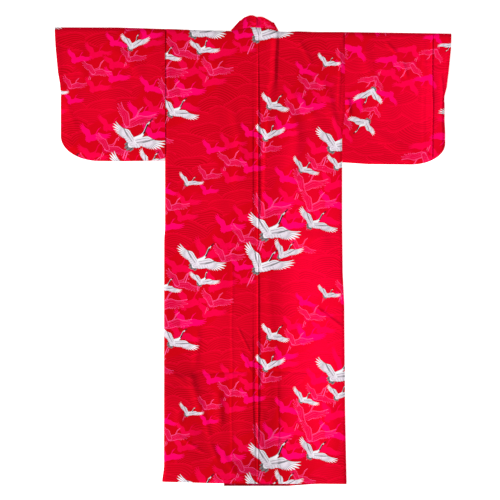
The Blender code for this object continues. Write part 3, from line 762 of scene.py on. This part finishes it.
def sleeve(side):
    size = sides[side]
    acrossCorner, upCorner = size["corner"]
    cuff = size["cuff"][0][1]
    inner = float(along(size["side"], size["sleeveBottom"][0][1])) + cloth["sleeveGap"]
    planD = spaced(inner, (cuff - acrossCorner, grids["sleeveColumns"]))
    planY = [float(along(size["sleeveBottom"], d)) for d in planD]
    bottom = planY[-1]
    for turn in np.linspace(0, math.pi / 2, grids["cornerColumns"] + 1)[1:]:
        planD.append(cuff - acrossCorner * (1 - math.sin(turn)))
        planY.append(bottom + upCorner * (1 - math.cos(turn)))
    lowD = np.array(planD)
    if size["fineColumns"]:
        extra = np.linspace(*size["fineColumns"], grids["fineColumns"])
        apart = np.abs(lowD[:, None] - extra).min(1) > grids["apart"]
        lowD = np.sort(np.concatenate((lowD[apart], extra)))
    lowY = np.interp(lowD, planD, planY)[None, :]
    lowD = lowD[None, :]
    fold = shoulderAt(side, lowD)
    y = mix(lowY, fold, np.linspace(0, 1, grids["sleeveRows"])[:, None])
    across = (lowD - inner) / (cuff - inner)
    drop = shoulderAt(side, size["shoulder"]) - cloth["armhole"] - y
    free = ease(drop, *sleeveForm["freeFrom"])
    armholeD = along(size["side"], y) + mix(-cloth["lap"], cloth["sleeveGap"], free)
    d = mix(armholeD, along(size["cuff"], y), across)
    x = toX(side, d)

    def chart(chartX, chartY):
        column, row = chartOf(chartX, chartY - cloth["shoulderY"])
        shiftX, shiftY = printChart[side + "Sleeve"]
        if side == "left":
            return column + shiftX, row + shiftY
        slant, still = printChart["rightSlant"]
        return shiftX - column + slant * (still - row), shiftY - row

    # the under layer stops short of the body
    lowerX = toX(side, d + 2 * cloth["lap"] * ease(across, sleeveForm["underStart"], 0))
    upper = (x, y, sleeveHeight(side, d, y, lowY), *chart(x, y))
    lower = (lowerX, y, np.full_like(x, levels["leftFront"]), *chart(lowerX, 2 * fold - y))
    bm = startMesh()
    for layer in (upper, lower):
        addGrid(bm, *layer[:3], layer[3:])

    def edgeOf(*pick):
        return [[grid[pick] for grid in layer] for layer in (upper, lower)]

    addGrid(bm, *bendGrid(*edgeOf(-1, slice(None)), 0, 1))
    # the joined edge runs along the bottom, round the corner and up to the cuff opening
    cuffLow = float(shoulderAt(side, cuff)) - cloth["cuffOpening"]
    sewn = int(np.searchsorted(y[:, -1], cuffLow))
    columns = x.shape[1]
    rows = np.concatenate((np.zeros(columns, int), np.arange(1, sewn)))
    up, low = edgeOf(rows, np.concatenate((np.arange(columns), np.full(sewn - 1, columns - 1))))
    runX, runY = np.gradient(up[0]), np.gradient(up[1])
    length = np.hypot(runX, runY)
    outX, outY = size["sign"] * runY / length, -size["sign"] * runX / length
    addGrid(bm, *bendGrid(up, low, outX, outY))
    return finishPiece("sleeve" + side.capitalize() + "Cloth", bm, cloth["wall"])


# the collar band where it turns over at the neck and at its centre back
bandForm = {
    "points": 9,  # across the band
    "turnLength": 0.09,  # below the neck point, where the band starts to turn
    "foldReach": 0.0032,
    "neckGap": 0.0010,
    "topGap": 0.0001,
    "peak": (0.011, 0.0016),  # left foot of the peak at the centre back, and its height
    "peakFall": (0.0035, 0.0070),  # right foot, and how much wider it is at the inner edge
    "seam": (0.0012, 0.0012),  # width, depth
    "puckers": (0.12, 0.02, 0.0006),  # distances where they start and are full, and height
}


def bandRung(side, d, y, angle, length, z, lift=0.0):
    turn = math.radians(angle)
    share = np.linspace(0, 1, bandForm["points"])
    reach = length * share
    return (toX(side, d - reach * math.cos(turn)), y + reach * math.sin(turn), z + lift * share)


def collarRungs(side, level):
    size = sides[side]
    neck = size["neck"]
    _, top, tip, end = frontPoints(side)
    _, angle, neckLength, _ = size["rungs"][-1]
    turnLength, reach = bandForm["turnLength"], bandForm["foldReach"]
    rungs = []
    for y in spaced(end, *zip((tip, top - turnLength, top - reach), grids["bandRows"])):
        share = float(ease(y, top - turnLength, top))
        length = mix(cloth["bandWidth"], neckLength, share)
        rungs.append(bandRung(side, necklineD(side, y) - cloth["seamGap"], y, angle * share, length, level))
    # the band turns over the fold at the side of the neck
    turnOver = math.radians(angle)
    middle = (level + levels["backBand"]) / 2
    half = (levels["backBand"] - level) / 2
    for step in np.linspace(0, math.pi, grids["turnRows"]):
        push = half * math.sin(step)
        d = neck - bandForm["neckGap"] + push * math.sin(turnOver)
        y = top + reach + push * math.cos(turnOver)
        rungs.append(bandRung(side, d, y, angle, neckLength, middle - half * math.cos(step)))
    shoulderPlan, neckIndex = columnPlan(side, float(shoulderAt(side, size["shoulder"])))
    for d in reversed(shoulderPlan[:neckIndex]):
        angle, length, lift = (float(along(size["rungs"], d / neck, column)) for column in (1, 2, 3))
        y = float(backTop(side, d)) + bandForm["topGap"]
        rungs.append(bandRung(side, d, y, angle, length, levels["backBand"], lift))
    return rungs


def collarBand():
    left = collarRungs("left", levels["leftBand"])
    right = collarRungs("right", levels["rightBand"])
    rungs = left + list(reversed(right))
    x, y, z = (np.array([rung[i] for rung in rungs]) for i in range(3))
    # length along the middle of the band, for its print
    middle = bandForm["points"] // 2
    step = np.hypot(np.diff(x[:, middle]), np.diff(y[:, middle]))
    travel = np.concatenate(((0,), np.cumsum(step)))
    away = (travel - travel[len(left) - 1])[:, None]
    across = np.linspace(0, 1, bandForm["points"])[None, :] + 0 * x
    # puckers where the band turns, and the seam at its centre back
    foot, rise = bandForm["peak"]
    narrow, wider = bandForm["peakFall"]
    z = z + rise * np.where(away < 0, ease(away, -foot, 0), ease(away, narrow + wider * (1 - across), 0))
    seamWidth, seamDepth = bandForm["seam"]
    z = z - seamDepth * np.exp(-(away / seamWidth) ** 2)
    start, end, rise = bandForm["puckers"]
    folds = (1 + np.sin(away * 190 + 2 * np.sin(away * 60))) / 2
    z = z + rise * ease(np.abs(away), start, end) * folds * across
    # each half has its own stretch of the print
    square = printChart["square"]
    column = 0 * x + away / square + np.where(away < 0, *printChart["bandHalves"])
    bm = startMesh()
    addGrid(bm, x, y, z, (column, printChart["bandRow"] - across * cloth["bandWidth"] / square))
    return finishPiece("collarCloth", bm, cloth["bandWall"], rim=cloth["bandRim"])


pieces = {}
for side in ("left", "right"):
    pieces["body_" + side] = bodyPanel(side)
    pieces["okumi_" + side] = overlapPanel(side)
    pieces["sleeve_" + side] = sleeve(side)
pieces["collar"] = collarBand()


def setInputs(node, inputs):
    # a plain value is set on its socket, and another node's output is linked to it
    for name, value in inputs.items():
        if isinstance(value, bpy.types.NodeSocket):
            node.id_data.links.new(value, node.inputs[name])
        else:
            node.inputs[name].default_value = value


def addNode(tree, kind, label="", inputs=None, **settings):
    node = tree.nodes.new(kind)
    node.label = label
    for name, value in settings.items():
        setattr(node, name, value)
    setInputs(node, inputs or {})
    return node


def calc(tree, operation, *values):
    # values past the second are taken in turn, as in a - b - c
    if len(values) > 2 and operation != "MULTIPLY_ADD":
        values = (calc(tree, operation, *values[:-1]), values[-1])
    return addNode(tree, "ShaderNodeMath", inputs=dict(enumerate(values)), operation=operation).outputs[0]


def mathOf(tree, *operations):
    # a tree's math nodes as short functions
    return [partial(calc, tree, operation) for operation in operations]


sums = ("ADD", "SUBTRACT", "MULTIPLY", "DIVIDE", "MULTIPLY_ADD")
limits = ("MINIMUM", "MAXIMUM", "ABSOLUTE", "PINGPONG")


def lengthOf(tree, x, y):
    return calc(tree, "SQRT", calc(tree, "MULTIPLY_ADD", x, x, calc(tree, "MULTIPLY", y, y)))


def ramp(tree, value, low, high, outLow=0.0, outHigh=1.0, soft=True):
    inputs = {"Value": value, "From Min": low, "From Max": high, "To Min": outLow, "To Max": outHigh}
    kind = "SMOOTHSTEP" if soft else "LINEAR"
    return addNode(tree, "ShaderNodeMapRange", inputs=inputs, interpolation_type=kind).outputs["Result"]


def curve(tree, value, points, label):
    # a drawn curve over the value, with heights between -0.5 and 0.5
    low, high = points[0][0], points[-1][0]
    share = ramp(tree, value, low, high, soft=False)
    node = addNode(tree, "ShaderNodeFloatCurve", label, {"Value": share})
    drawn = node.mapping.curves[0].points
    places = [((at - low) / (high - low), height + 0.5) for at, height in points]
    drawn[0].location, drawn[1].location = places[0], places[-1]
    for place in places[1:-1]:
        drawn.new(*place)
    for point in drawn:
        point.handle_type = "AUTO_CLAMPED"
    node.mapping.update()
    return calc(tree, "SUBTRACT", node.outputs[0], 0.5)


def blendColour(tree, share, under, over):
    return addNode(tree, "ShaderNodeMix", "", {0: share, 6: under, 7: over}, data_type="RGBA").outputs[2]


def parted(tree, vector):
    return addNode(tree, "ShaderNodeSeparateXYZ", "", {0: vector}).outputs


def newGroup(name, vectors, values, outputs):
    group = bpy.data.node_groups.new(name, "ShaderNodeTree")
    for socket in vectors:
        group.interface.new_socket(socket, in_out="INPUT", socket_type="NodeSocketVector")
    for socket in values:
        group.interface.new_socket(socket, in_out="INPUT", socket_type="NodeSocketFloat")
    for socket in outputs:
        group.interface.new_socket(socket, in_out="OUTPUT", socket_type="NodeSocketFloat")
    given = group.nodes.new("NodeGroupInput").outputs
    return group, given[:len(vectors) + len(values)], group.nodes.new("NodeGroupOutput")


def useGroup(tree, group, label, inputs):
    return addNode(tree, "ShaderNodeGroup", label, inputs, node_tree=group).outputs


# a spread wing. Curves run along it, from the root at 0 to the tip at 1, or over the angle at the
# wrist. A pair is where something starts and where it is full, in lengths of the wing
craneWing = {
    "lead": ((-0.2, 0.02), (0.0, 0.07), (0.09, 0.10), (0.27, 0.137), (0.40, 0.165), (0.47, 0.15),
             (0.55, 0.095), (0.63, 0.048), (0.73, 0.020), (0.85, 0.010), (0.95, 0.014), (1.10, 0.03)),
    "trail": ((-0.2, -0.12), (-0.05, -0.20), (0.05, -0.225), (0.15, -0.228), (0.21, -0.222),
              (0.255, -0.212), (0.30, -0.205), (0.38, -0.195), (0.47, -0.18), (0.53, -0.12), (0.62, 0.02),
              (1.10, 0.4)),
    "wrist": (0.42, 0.0),
    "hand": ((-3.2, 0.08), (-2.4, 0.12), (-1.87, 0.235), (-1.42, 0.268), (-1.23, 0.297), (-0.87, 0.385),
             (-0.65, 0.470), (-0.44, 0.555), (-0.22, 0.600), (0.0, 0.585), (0.4, 0.56), (3.2, 0.30)),
    "fingers": ((-3.2, 0.04), (-2.2, 0.12), (-1.8, 0.19), (-1.4, 0.24), (-1.1, 0.29), (-0.8, 0.34),
                (-0.4, 0.40), (3.2, 0.40)),
    "band": ((-0.2, -0.06), (0.04, -0.055), (0.28, -0.040), (0.41, -0.005), (0.56, 0.045), (0.66, 0.06),
             (1.10, 0.06)),
    "back": 0.14,  # how far the wing reaches behind its root
    "scallop": 0.045,  # half the width of a feather along the arm
    "scallopCut": 0.35,
    "featherSlant": 0.35,
    "fingerCut": 1.25,
    "covert": 0.045,  # depth of a row of coverts
    "covertFrom": 0.010,  # from the leading edge
    "quillRadius": (0.12, 0.26),
    "quillStart": (0.34, 0.46),
    "armEnd": (0.46, 0.40),
    "armLow": (-0.07, -0.11),
    "covertEnd": (0.54, 0.46),
    "covertStart": (0.0, 0.08),
    "covertDepth": (0.20, 0.17),
    "bandWidth": (0.036, 0.012),
    "bandInk": (0.20, 0.34, 0.40, 1.0),  # from 0.40 to full ink
    "bandTip": (0.70, 0.58),
    "bandRoot": (-0.02, 0.06),
    "brightEdge": (0.055, 0.035),
    "brightHand": (0.22, 0.34),
    "brightStart": (0.45, 0.60),
}


def wingGroup():
    group, given, result = newGroup("Crane wing", (), ("Along", "Across", "Line Width", "Feather Angle"),
                                    ("Field", "Lines", "Rim", "Contours", "Shade", "Bright"))
    a, b, width, feather = given
    plus, less, times, over, timesPlus = mathOf(group, *sums)
    least, most, positive, pingPong = mathOf(group, *limits)
    size = craneWing

    def fade(value, name, *outputs):
        return ramp(group, value, *size[name], *outputs)

    def line(distance):
        # soft line where the distance is under the line's half width
        return ramp(group, over(positive(distance), width), 1.5, 0.6)

    def drawn(value, name):
        return curve(group, value, size[name], name)

    underLead = less(drawn(a, "lead"), b)
    bars = pingPong(timesPlus(b, size["featherSlant"], a), size["scallop"])
    overTrail = less(b, timesPlus(bars, size["scallopCut"], drawn(a, "trail")))
    outX, outY = (less(at, wrist) for at, wrist in zip((a, b), size["wrist"]))
    angle = calc(group, "ARCTAN2", outY, outX)
    radius = lengthOf(group, outX, outY)
    split = over(pingPong(angle, feather), feather)
    notch = times(calc(group, "POWER", split, size["fingerCut"]), drawn(angle, "fingers"))
    hand = less(times(drawn(angle, "hand"), less(1.0, notch)), radius)
    field = least(underLead, most(overTrail, hand), plus(a, size["back"]))

    # quills fan from the wrist and lie side by side along the arm, under two rows of coverts
    quills = times(line(times(less(1.0, split), radius, feather)), fade(radius, "quillRadius", 0.0, 0.8),
                   ramp(group, hand, -0.005, 0.005), fade(a, "quillStart"))
    armBars = times(line(less(size["scallop"], bars)), fade(a, "armEnd", 0.0, 0.5), fade(b, "armLow"))
    contours = pingPong(less(underLead, size["covertFrom"]), size["covert"])
    contours = line(less(size["covert"], contours))
    coverts = times(contours, fade(a, "covertEnd"), fade(a, "covertStart"),
                    fade(underLead, "covertDepth", 0.0, 0.9))
    nearBand = fade(positive(less(b, drawn(a, "band"))), "bandWidth")
    brightHand = times(fade(radius, "brightHand"), fade(a, "brightStart"))
    setInputs(result, {
        "Field": field,
        "Lines": most(quills, armBars, coverts),
        "Rim": line(less(field, width)),
        "Contours": contours,
        "Shade": times(nearBand, fade(a, "bandInk"), fade(a, "bandTip"), fade(a, "bandRoot")),
        "Bright": most(fade(underLead, "brightEdge"), brightHand),
    })
    return group


# body and neck, along a line from the wings' root at 0 to the beak at 1, and across it
craneBody = {
    "line": ((-0.6, 0.02), (-0.2, 0.0), (0.0, -0.01), (0.12, -0.025), (0.255, -0.058), (0.38, -0.078),
             (0.45, -0.072), (0.52, -0.058), (0.60, -0.034), (0.72, 0.002), (0.80, 0.013), (0.90, 0.008),
             (1.05, 0.0)),
    "half": ((-0.6, -0.2), (-0.28, 0.0), (-0.2, 0.10), (0.0, 0.14), (0.12, 0.11), (0.255, 0.072),
             (0.38, 0.044), (0.50, 0.030), (0.70, 0.026), (0.78, 0.031), (0.84, 0.025), (0.89, 0.017),
             (1.05, 0.009)),
    "ends": (1.03, 0.28),  # just past the beak, and behind the wings
    "tailRadius": 0.190,
    "tailFrom": (0.24, 0.01),
    "plume": 0.055,  # half the width of a tail plume
    "plumeCut": 1.25,
    "plumeSlant": 0.25,
    "plumeInk": (0.030, 0.044),
    "legSlant": 0.40,
    "legFrom": (0.58, -0.085),
    "legApart": 0.045,
    "legWidth": (0.022, 0.010),
    "legs": (-0.40, -0.46),
    "feet": (-1.30, -1.20),
    "edge": (-0.034, -0.004),
    "darkSide": (0.016, 0.006),
    "darkFrom": (0.40, 0.44),
    "darkTo": (0.82, 0.76),
    "beak": (0.86, 0.90),
    "crownFrom": (0.79, 0.81),
    "crownTo": (0.87, 0.85),
    "crownSide": (0.010, 0.018),
}


def craneGroup():
    masks = ("Shape", "Plumage", "Edge", "Lines", "Rim", "Contours", "Shade", "Bright", "Neck", "Tail",
             "Plumes", "Crown", "Legs")
    group, given, result = newGroup("Crane motif", ("Wings", "Body"), ("Line Width", "Feather Angle"), masks)
    wingPlaces, bodyPlaces, width, feather = given
    plus, less, times, over, timesPlus = mathOf(group, *sums)
    least, most, positive, pingPong = mathOf(group, *limits)
    size = craneBody
    wing = wingGroup()
    leftAlong, leftAcross, rightAlong = parted(group, wingPlaces)
    rightAcross, t, o = parted(group, bodyPlaces)
    left, right = (
        useGroup(group, wing, label, {"Along": a, "Across": b, "Line Width": width, "Feather Angle": feather})
        for label, a, b in (("left wing", leftAlong, leftAcross), ("right wing", rightAlong, rightAcross)))

    def fade(value, name):
        return ramp(group, value, *size[name])

    def filled(field):
        return calc(group, "GREATER_THAN", field, 0.0)

    aside = less(o, curve(group, t, size["line"], "line of the neck"))
    body = less(curve(group, t, size["half"], "half width"), positive(aside))
    body = least(body, least(less(size["ends"][0], t), plus(t, size["ends"][1])))
    # tail: a short fan behind the wings, with a ragged edge
    plumes = pingPong(timesPlus(t, size["plumeSlant"], o), size["plume"])
    behind, middle = size["tailFrom"]
    tail = less(size["tailRadius"], lengthOf(group, less(o, middle), plus(t, behind)))
    tail = less(tail, times(plumes, size["plumeCut"]))
    # legs: two thin lines trailing beyond the tail
    behind, middle = size["legFrom"]
    legLine = less(less(o, times(plus(t, behind), size["legSlant"])), middle)
    legGap = positive(less(positive(legLine), size["legApart"]))
    legs = times(fade(legGap, "legWidth"), fade(t, "legs"), fade(t, "feet"))
    wings = most(left["Field"], right["Field"])
    plumage = most(wings, body)
    isPlumage = filled(plumage)
    notPlumage = less(1.0, isPlumage)
    isTail = times(filled(tail), notPlumage)
    # the left wing lies over the right one, and both over the body
    onLeft = filled(left["Field"])
    onRight = times(filled(right["Field"]), less(1.0, onLeft))
    offWings = ramp(group, wings, 0.004, -0.004)
    inNeck = times(filled(body), offWings)

    def parts(name):
        return most(times(left[name], onLeft), times(right[name], onRight))

    bodyLine = times(ramp(group, over(body, times(width, 2.0)), 1.4, 0.5), offWings)
    darkSide = times(fade(aside, "darkSide"), fade(t, "darkFrom"), fade(t, "darkTo"))
    crown = times(fade(t, "crownFrom"), fade(t, "crownTo"), fade(aside, "crownSide"))
    setInputs(result, {
        "Shape": filled(most(plumage, tail)),
        "Plumage": isPlumage,
        "Edge": times(fade(plumage, "edge"), notPlumage),
        "Lines": times(parts("Lines"), isPlumage),
        "Rim": times(most(parts("Rim"), bodyLine), isPlumage),
        "Contours": times(parts("Contours"), isPlumage),
        "Shade": parts("Shade"),
        "Bright": most(parts("Bright"), inNeck),
        "Neck": times(most(darkSide, fade(t, "beak")), inNeck),
        "Tail": isTail,
        "Plumes": times(fade(plumes, "plumeInk"), isTail),
        "Crown": times(crown, inNeck),
        "Legs": times(legs, notPlumage, less(1.0, isTail)),
    })
    return group


waves = {
    "hill": 30.0,  # squares from one hill to the next
    "rise": 11.5,  # squares between rows of hills
    "reach": 26.0,  # radius of the largest hill
    "line": 2.15,  # squares between the fine lines
    "wander": 9.0,  # squares that the hand-drawn lines stray
    "wanderScale": 0.035,
    "rows": 4,  # rows of hills that can reach a point
    "sway": (0.35, 0.30),  # place of a hill's middle in its cell, and how far chance moves it
    "sizes": (0.8, 0.2),  # smallest hill, and how much larger chance makes it
    "squash": 0.85,
    "rim": (0.9, 0.4),
}


def waveGroup():
    group, given, result = newGroup("Wave hills", ("Chart",), ("Hill Width", "Line Spacing"), ("Line", "Rim"))
    chart, hillWidth, spacing = given
    plus, less, times, over, timesPlus = mathOf(group, *sums)
    floorOf = partial(calc, group, "FLOOR")
    stray = addNode(group, "ShaderNodeTexNoise", "unsteady hand", noise_dimensions="2D",
                    inputs={"Scale": waves["wanderScale"], "Detail": 1.0, "Vector": chart})
    wander = (waves["wander"], waves["wander"], 0.0)
    drawn = addNode(group, "ShaderNodeVectorMath", "drawn by hand", operation="MULTIPLY_ADD",
                    inputs={0: stray.outputs["Color"], 1: wander, 2: chart})
    x, y, _ = parted(group, drawn.outputs[0])
    front = floorOf(over(plus(y, waves["reach"]), waves["rise"]))
    covered, depth, strength = 0.0, 0.0, 0.0
    middle, sway = waves["sway"]
    smallest, larger = (share * waves["reach"] for share in waves["sizes"])
    # the nearest row of hills that reaches a point hides the rows behind it
    for back in range(waves["rows"]):
        row = less(front, back)
        shifted = timesPlus(calc(group, "FLOORED_MODULO", row, 2.0), 0.5, over(x, hillWidth))
        cell = floorOf(shifted)
        key = addNode(group, "ShaderNodeCombineXYZ", "", {0: cell, 1: row})
        chance = addNode(group, "ShaderNodeTexWhiteNoise", noise_dimensions="2D",
                         inputs={"Vector": key.outputs[0]})
        place, size, ink = parted(group, chance.outputs["Color"])
        aside = less(shifted, cell, timesPlus(place, sway, middle))
        aside = times(aside, hillWidth, waves["squash"])
        below = less(times(row, waves["rise"]), y)
        inward = less(timesPlus(size, larger, smallest), lengthOf(group, aside, below))
        shows = times(calc(group, "GREATER_THAN", inward, 0.0), less(1.0, covered))
        depth = timesPlus(shows, inward, depth)
        strength = timesPlus(shows, ink, strength)
        covered = plus(covered, shows)
    wave = calc(group, "SINE", times(over(depth, spacing), -2 * math.pi))
    inked = times(ramp(group, wave, -0.6, 0.5, 1.0, 0.0), ramp(group, strength, 0.0, 1.0, 0.5, 1.1))
    rim = ramp(group, depth, *waves["rim"])
    setInputs(result, {"Line": times(inked, covered), "Rim": times(rim, covered)})
    return group


def weaveGroup():
    # plain weave with uneven threads: a height for the bump and a little thread colour
    group, given, result = newGroup("Plain weave", ("Chart",), ("Threads",), ("Height", "Slub"))
    chart, threads = given
    times, sine = mathOf(group, "MULTIPLY", "SINE")
    warp, weft = (sine(times(at, threads, math.pi)) for at in parted(group, chart)[:2])
    stretch = addNode(group, "ShaderNodeMapping", "", {"Scale": (0.5, 6.0, 1.0), "Vector": chart})
    slub = addNode(group, "ShaderNodeTexNoise", "slubs", noise_dimensions="2D",
                   inputs={"Vector": stretch.outputs[0], "Scale": 0.8, "Detail": 3.0}).outputs[0]
    setInputs(result, {"Height": calc(group, "MULTIPLY_ADD", times(warp, weft), 0.35, slub), "Slub": slub})
    return group


looks = {
    "ground": (0.645, 0.0, 0.0145, 1),
    "line": (0.450, 0.0, 0.0050, 1),
    "hillRim": (0.790, 0.0, 0.0250, 1),
    "plain": (0.560, 0.0, 0.0055, 1),
    "redPink": (0.780, 0.0, 0.0480, 1),
    "hotPink": (0.920, 0.0, 0.1200, 1),
    "outlineFill": (0.760, 0.0, 0.0800, 1),
    "outlineLine": (0.930, 0.1000, 0.3300, 1),
    "paintedHighlight": (0.300, 0.0, 0.0180),  # painted highlight: what the most brightly lit cloth adds
    "white": (0.735, 0.660, 0.740, 1),
    "whiteBright": (0.860, 0.835, 0.875, 1),
    "whiteLine": (0.240, 0.200, 0.225, 1),
    "whiteShade": (0.120, 0.125, 0.130, 1),
    "tail": (0.200, 0.180, 0.190, 1),
    "edge": (0.100, 0.004, 0.020, 1),
    "dark": (0.008, 0.007, 0.009, 1),
    "crown": (0.780, 0.060, 0.020, 1),
    "roughness": (0.79, 0.90),
    "threads": 3.4,  # threads to a square of the chart
    "plainFrom": (0.85, 1.10),  # nearness of cranes where the waves stop
    "unevenDye": (0.25, 0.75, 0.94, 1.05),  # slub, and how light it is there
    "paintedShadeRange": (-1.0, 0.0, 0.35, 1.0),  # painted shade: amount of painted light and shade, and how light the cloth is there
    "sheenTint": (1.0, 0.45, 0.55, 1),
}
# how fully each part of a crane is printed
inking = {
    "outlined": {"Shape": 0.50, "Contours": 0.13, "Lines": 0.34, "Rim": 0.95, "Legs": 0.80},
    "white": {"Lines": 0.85, "Rim": 0.22, "Shade": 0.85, "Edge": 0.6, "Plumes": 0.6},
}


def printedCotton():
    material = bpy.data.materials.new("Printed cotton")
    material.use_nodes = True
    tree = material.node_tree
    times, most = mathOf(tree, "MULTIPLY", "MAXIMUM")
    blend = partial(blendColour, tree)

    def read(name, output):
        return addNode(tree, "ShaderNodeAttribute", name, attribute_name=name).outputs[output]

    def inked(kind, mask):
        return times(birds[kind][mask], inking[kind].get(mask, 1.0))

    chart = read("clothPlace", "Vector")
    hills = useGroup(tree, waveGroup(), "wave hills",
                     {"Chart": chart, "Hill Width": waves["hill"], "Line Spacing": waves["line"]})
    colour = blend(hills["Line"], looks["ground"], looks["line"])
    colour = blend(hills["Rim"], colour, looks["hillRim"])
    colour = blend(ramp(tree, read("flock", "Fac"), *looks["plainFrom"]), colour, looks["plain"])
    crane = craneGroup()
    birds = {}
    for kind, (lineWidth, feather) in pens.items():
        wings, body = (read(kind + part, "Vector") for part in ("Wings", "Body"))
        birds[kind] = useGroup(tree, crane, kind + " cranes", {
            "Wings": wings, "Body": body, "Line Width": lineWidth, "Feather Angle": feather})
    for kind in ("redPink", "hotPink"):
        colour = blend(birds[kind]["Shape"], colour, looks[kind])
    colour = blend(inked("outlined", "Shape"), colour, looks["outlineFill"])
    ink = most(*(inked("outlined", mask) for mask in ("Contours", "Lines", "Rim", "Legs")))
    colour = blend(ink, colour, looks["outlineLine"])
    # painted highlight: where the painted light is positive, a paler, pinker colour is added
    paintedLightShade = read("paintedLightShade", "Fac")
    colour = addNode(tree, "ShaderNodeVectorMath", "paintedHighlight", operation="MULTIPLY_ADD",
                     inputs={0: most(paintedLightShade, 0.0), 1: looks["paintedHighlight"], 2: colour}).outputs[0]
    feathers = blend(birds["white"]["Bright"], looks["white"], looks["whiteBright"])
    feathers = blend(most(inked("white", "Lines"), inked("white", "Rim")), feathers, looks["whiteLine"])
    feathers = blend(inked("white", "Shade"), feathers, looks["whiteShade"])
    # from the bottom up
    layers = (("Legs", looks["outlineLine"]), ("Edge", looks["edge"]), ("Tail", looks["tail"]),
              ("Plumes", looks["dark"]), ("Plumage", feathers), ("Neck", looks["dark"]),
              ("Crown", looks["crown"]))
    for mask, over in layers:
        colour = blend(inked("white", mask), colour, over)

    weave = useGroup(tree, weaveGroup(), "weave", {"Chart": chart, "Threads": looks["threads"]})
    uneven = ramp(tree, weave["Slub"], *looks["unevenDye"], soft=False)
    # painted shade where the painted light is negative, together with the slubs' uneven dye
    paintedShade = ramp(tree, paintedLightShade, *looks["paintedShadeRange"], soft=False)
    slubAndShade = addNode(tree, "ShaderNodeVectorMath", "slub tint and painted shade", operation="SCALE",
                     inputs={0: colour, "Scale": times(uneven, paintedShade)})
    bump = addNode(tree, "ShaderNodeBump", "weave bump",
                   {"Strength": 0.35, "Distance": 0.0002, "Height": weave["Height"]})
    setInputs(tree.nodes["Principled BSDF"], {
        "Base Color": slubAndShade.outputs[0],
        "Roughness": ramp(tree, weave["Slub"], 0.3, 0.7, *looks["roughness"]),
        "Normal": bump.outputs[0],
        "Specular IOR Level": 0.02,
        "Sheen Weight": 0.03,
        "Sheen Roughness": 0.5,
        "Sheen Tint": looks["sheenTint"],
    })
    return material


cotton = printedCotton()
print("cotton made:", len(cotton.node_tree.nodes), "nodes in the material")

# lay the print on each piece, give it the cotton, attach it and hide its plain part
for node, piece in pieces.items():
    printOn(piece)
    piece.data.materials.append(cotton)
    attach(piece, "root")
    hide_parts(node)

stage = {
    "floor": 12.0,
    "paper": (0.93, 0.93, 0.93, 1),
    "glow": 0.6,  # the paper lies on a light table
    "world": 0.30,
    "key": {"at": (-11.2, -7.0, 5.6), "size": 2.4, "power": 3150.0},
    "fill": {"at": (1.6, -0.8, 7.6), "size": 3.0, "power": 170.0},
    "lens": 135.0,
    "camera": (-0.0101, 0.0008, 6.33),
}
bpy.ops.object.select_all(action="DESELECT")
bpy.ops.mesh.primitive_plane_add(size=stage["floor"], location=(0, 0, 0))
floor = bpy.context.active_object
floor.name = "floor"
paper = bpy.data.materials.new("Pale paper")
paper.use_nodes = True
setInputs(paper.node_tree.nodes["Principled BSDF"], {
    "Base Color": stage["paper"],
    "Roughness": 0.95,
    "Specular IOR Level": 0.1,
    "Emission Color": (1, 1, 1, 1),
    "Emission Strength": stage["glow"],
})
floor.data.materials.append(paper)
print("print laid on", len(pieces), "pieces")

world = bpy.data.worlds.new("Studio")
world.use_nodes = True
setInputs(world.node_tree.nodes["Background"], {"Color": (1, 1, 1, 1), "Strength": stage["world"]})
bpy.context.scene.world = world
for name in ("key", "fill"):
    light = bpy.data.lights.new(name, "AREA")
    light.energy = stage[name]["power"]
    light.size = stage[name]["size"]
    lamp = bpy.data.objects.new(name, light)
    lamp.location = stage[name]["at"]
    lamp.rotation_euler = (-lamp.location).to_track_quat("-Z", "Y").to_euler()
    bpy.context.scene.collection.objects.link(lamp)
lens = bpy.data.cameras.new("camera")
lens.lens = stage["lens"]
lens.sensor_width = 36.0
camera = bpy.data.objects.new("camera", lens)
camera.location = stage["camera"]
bpy.context.scene.collection.objects.link(camera)
bpy.context.scene.camera = camera
bpy.context.scene.view_settings.view_transform = "Standard"
print("studio lit")
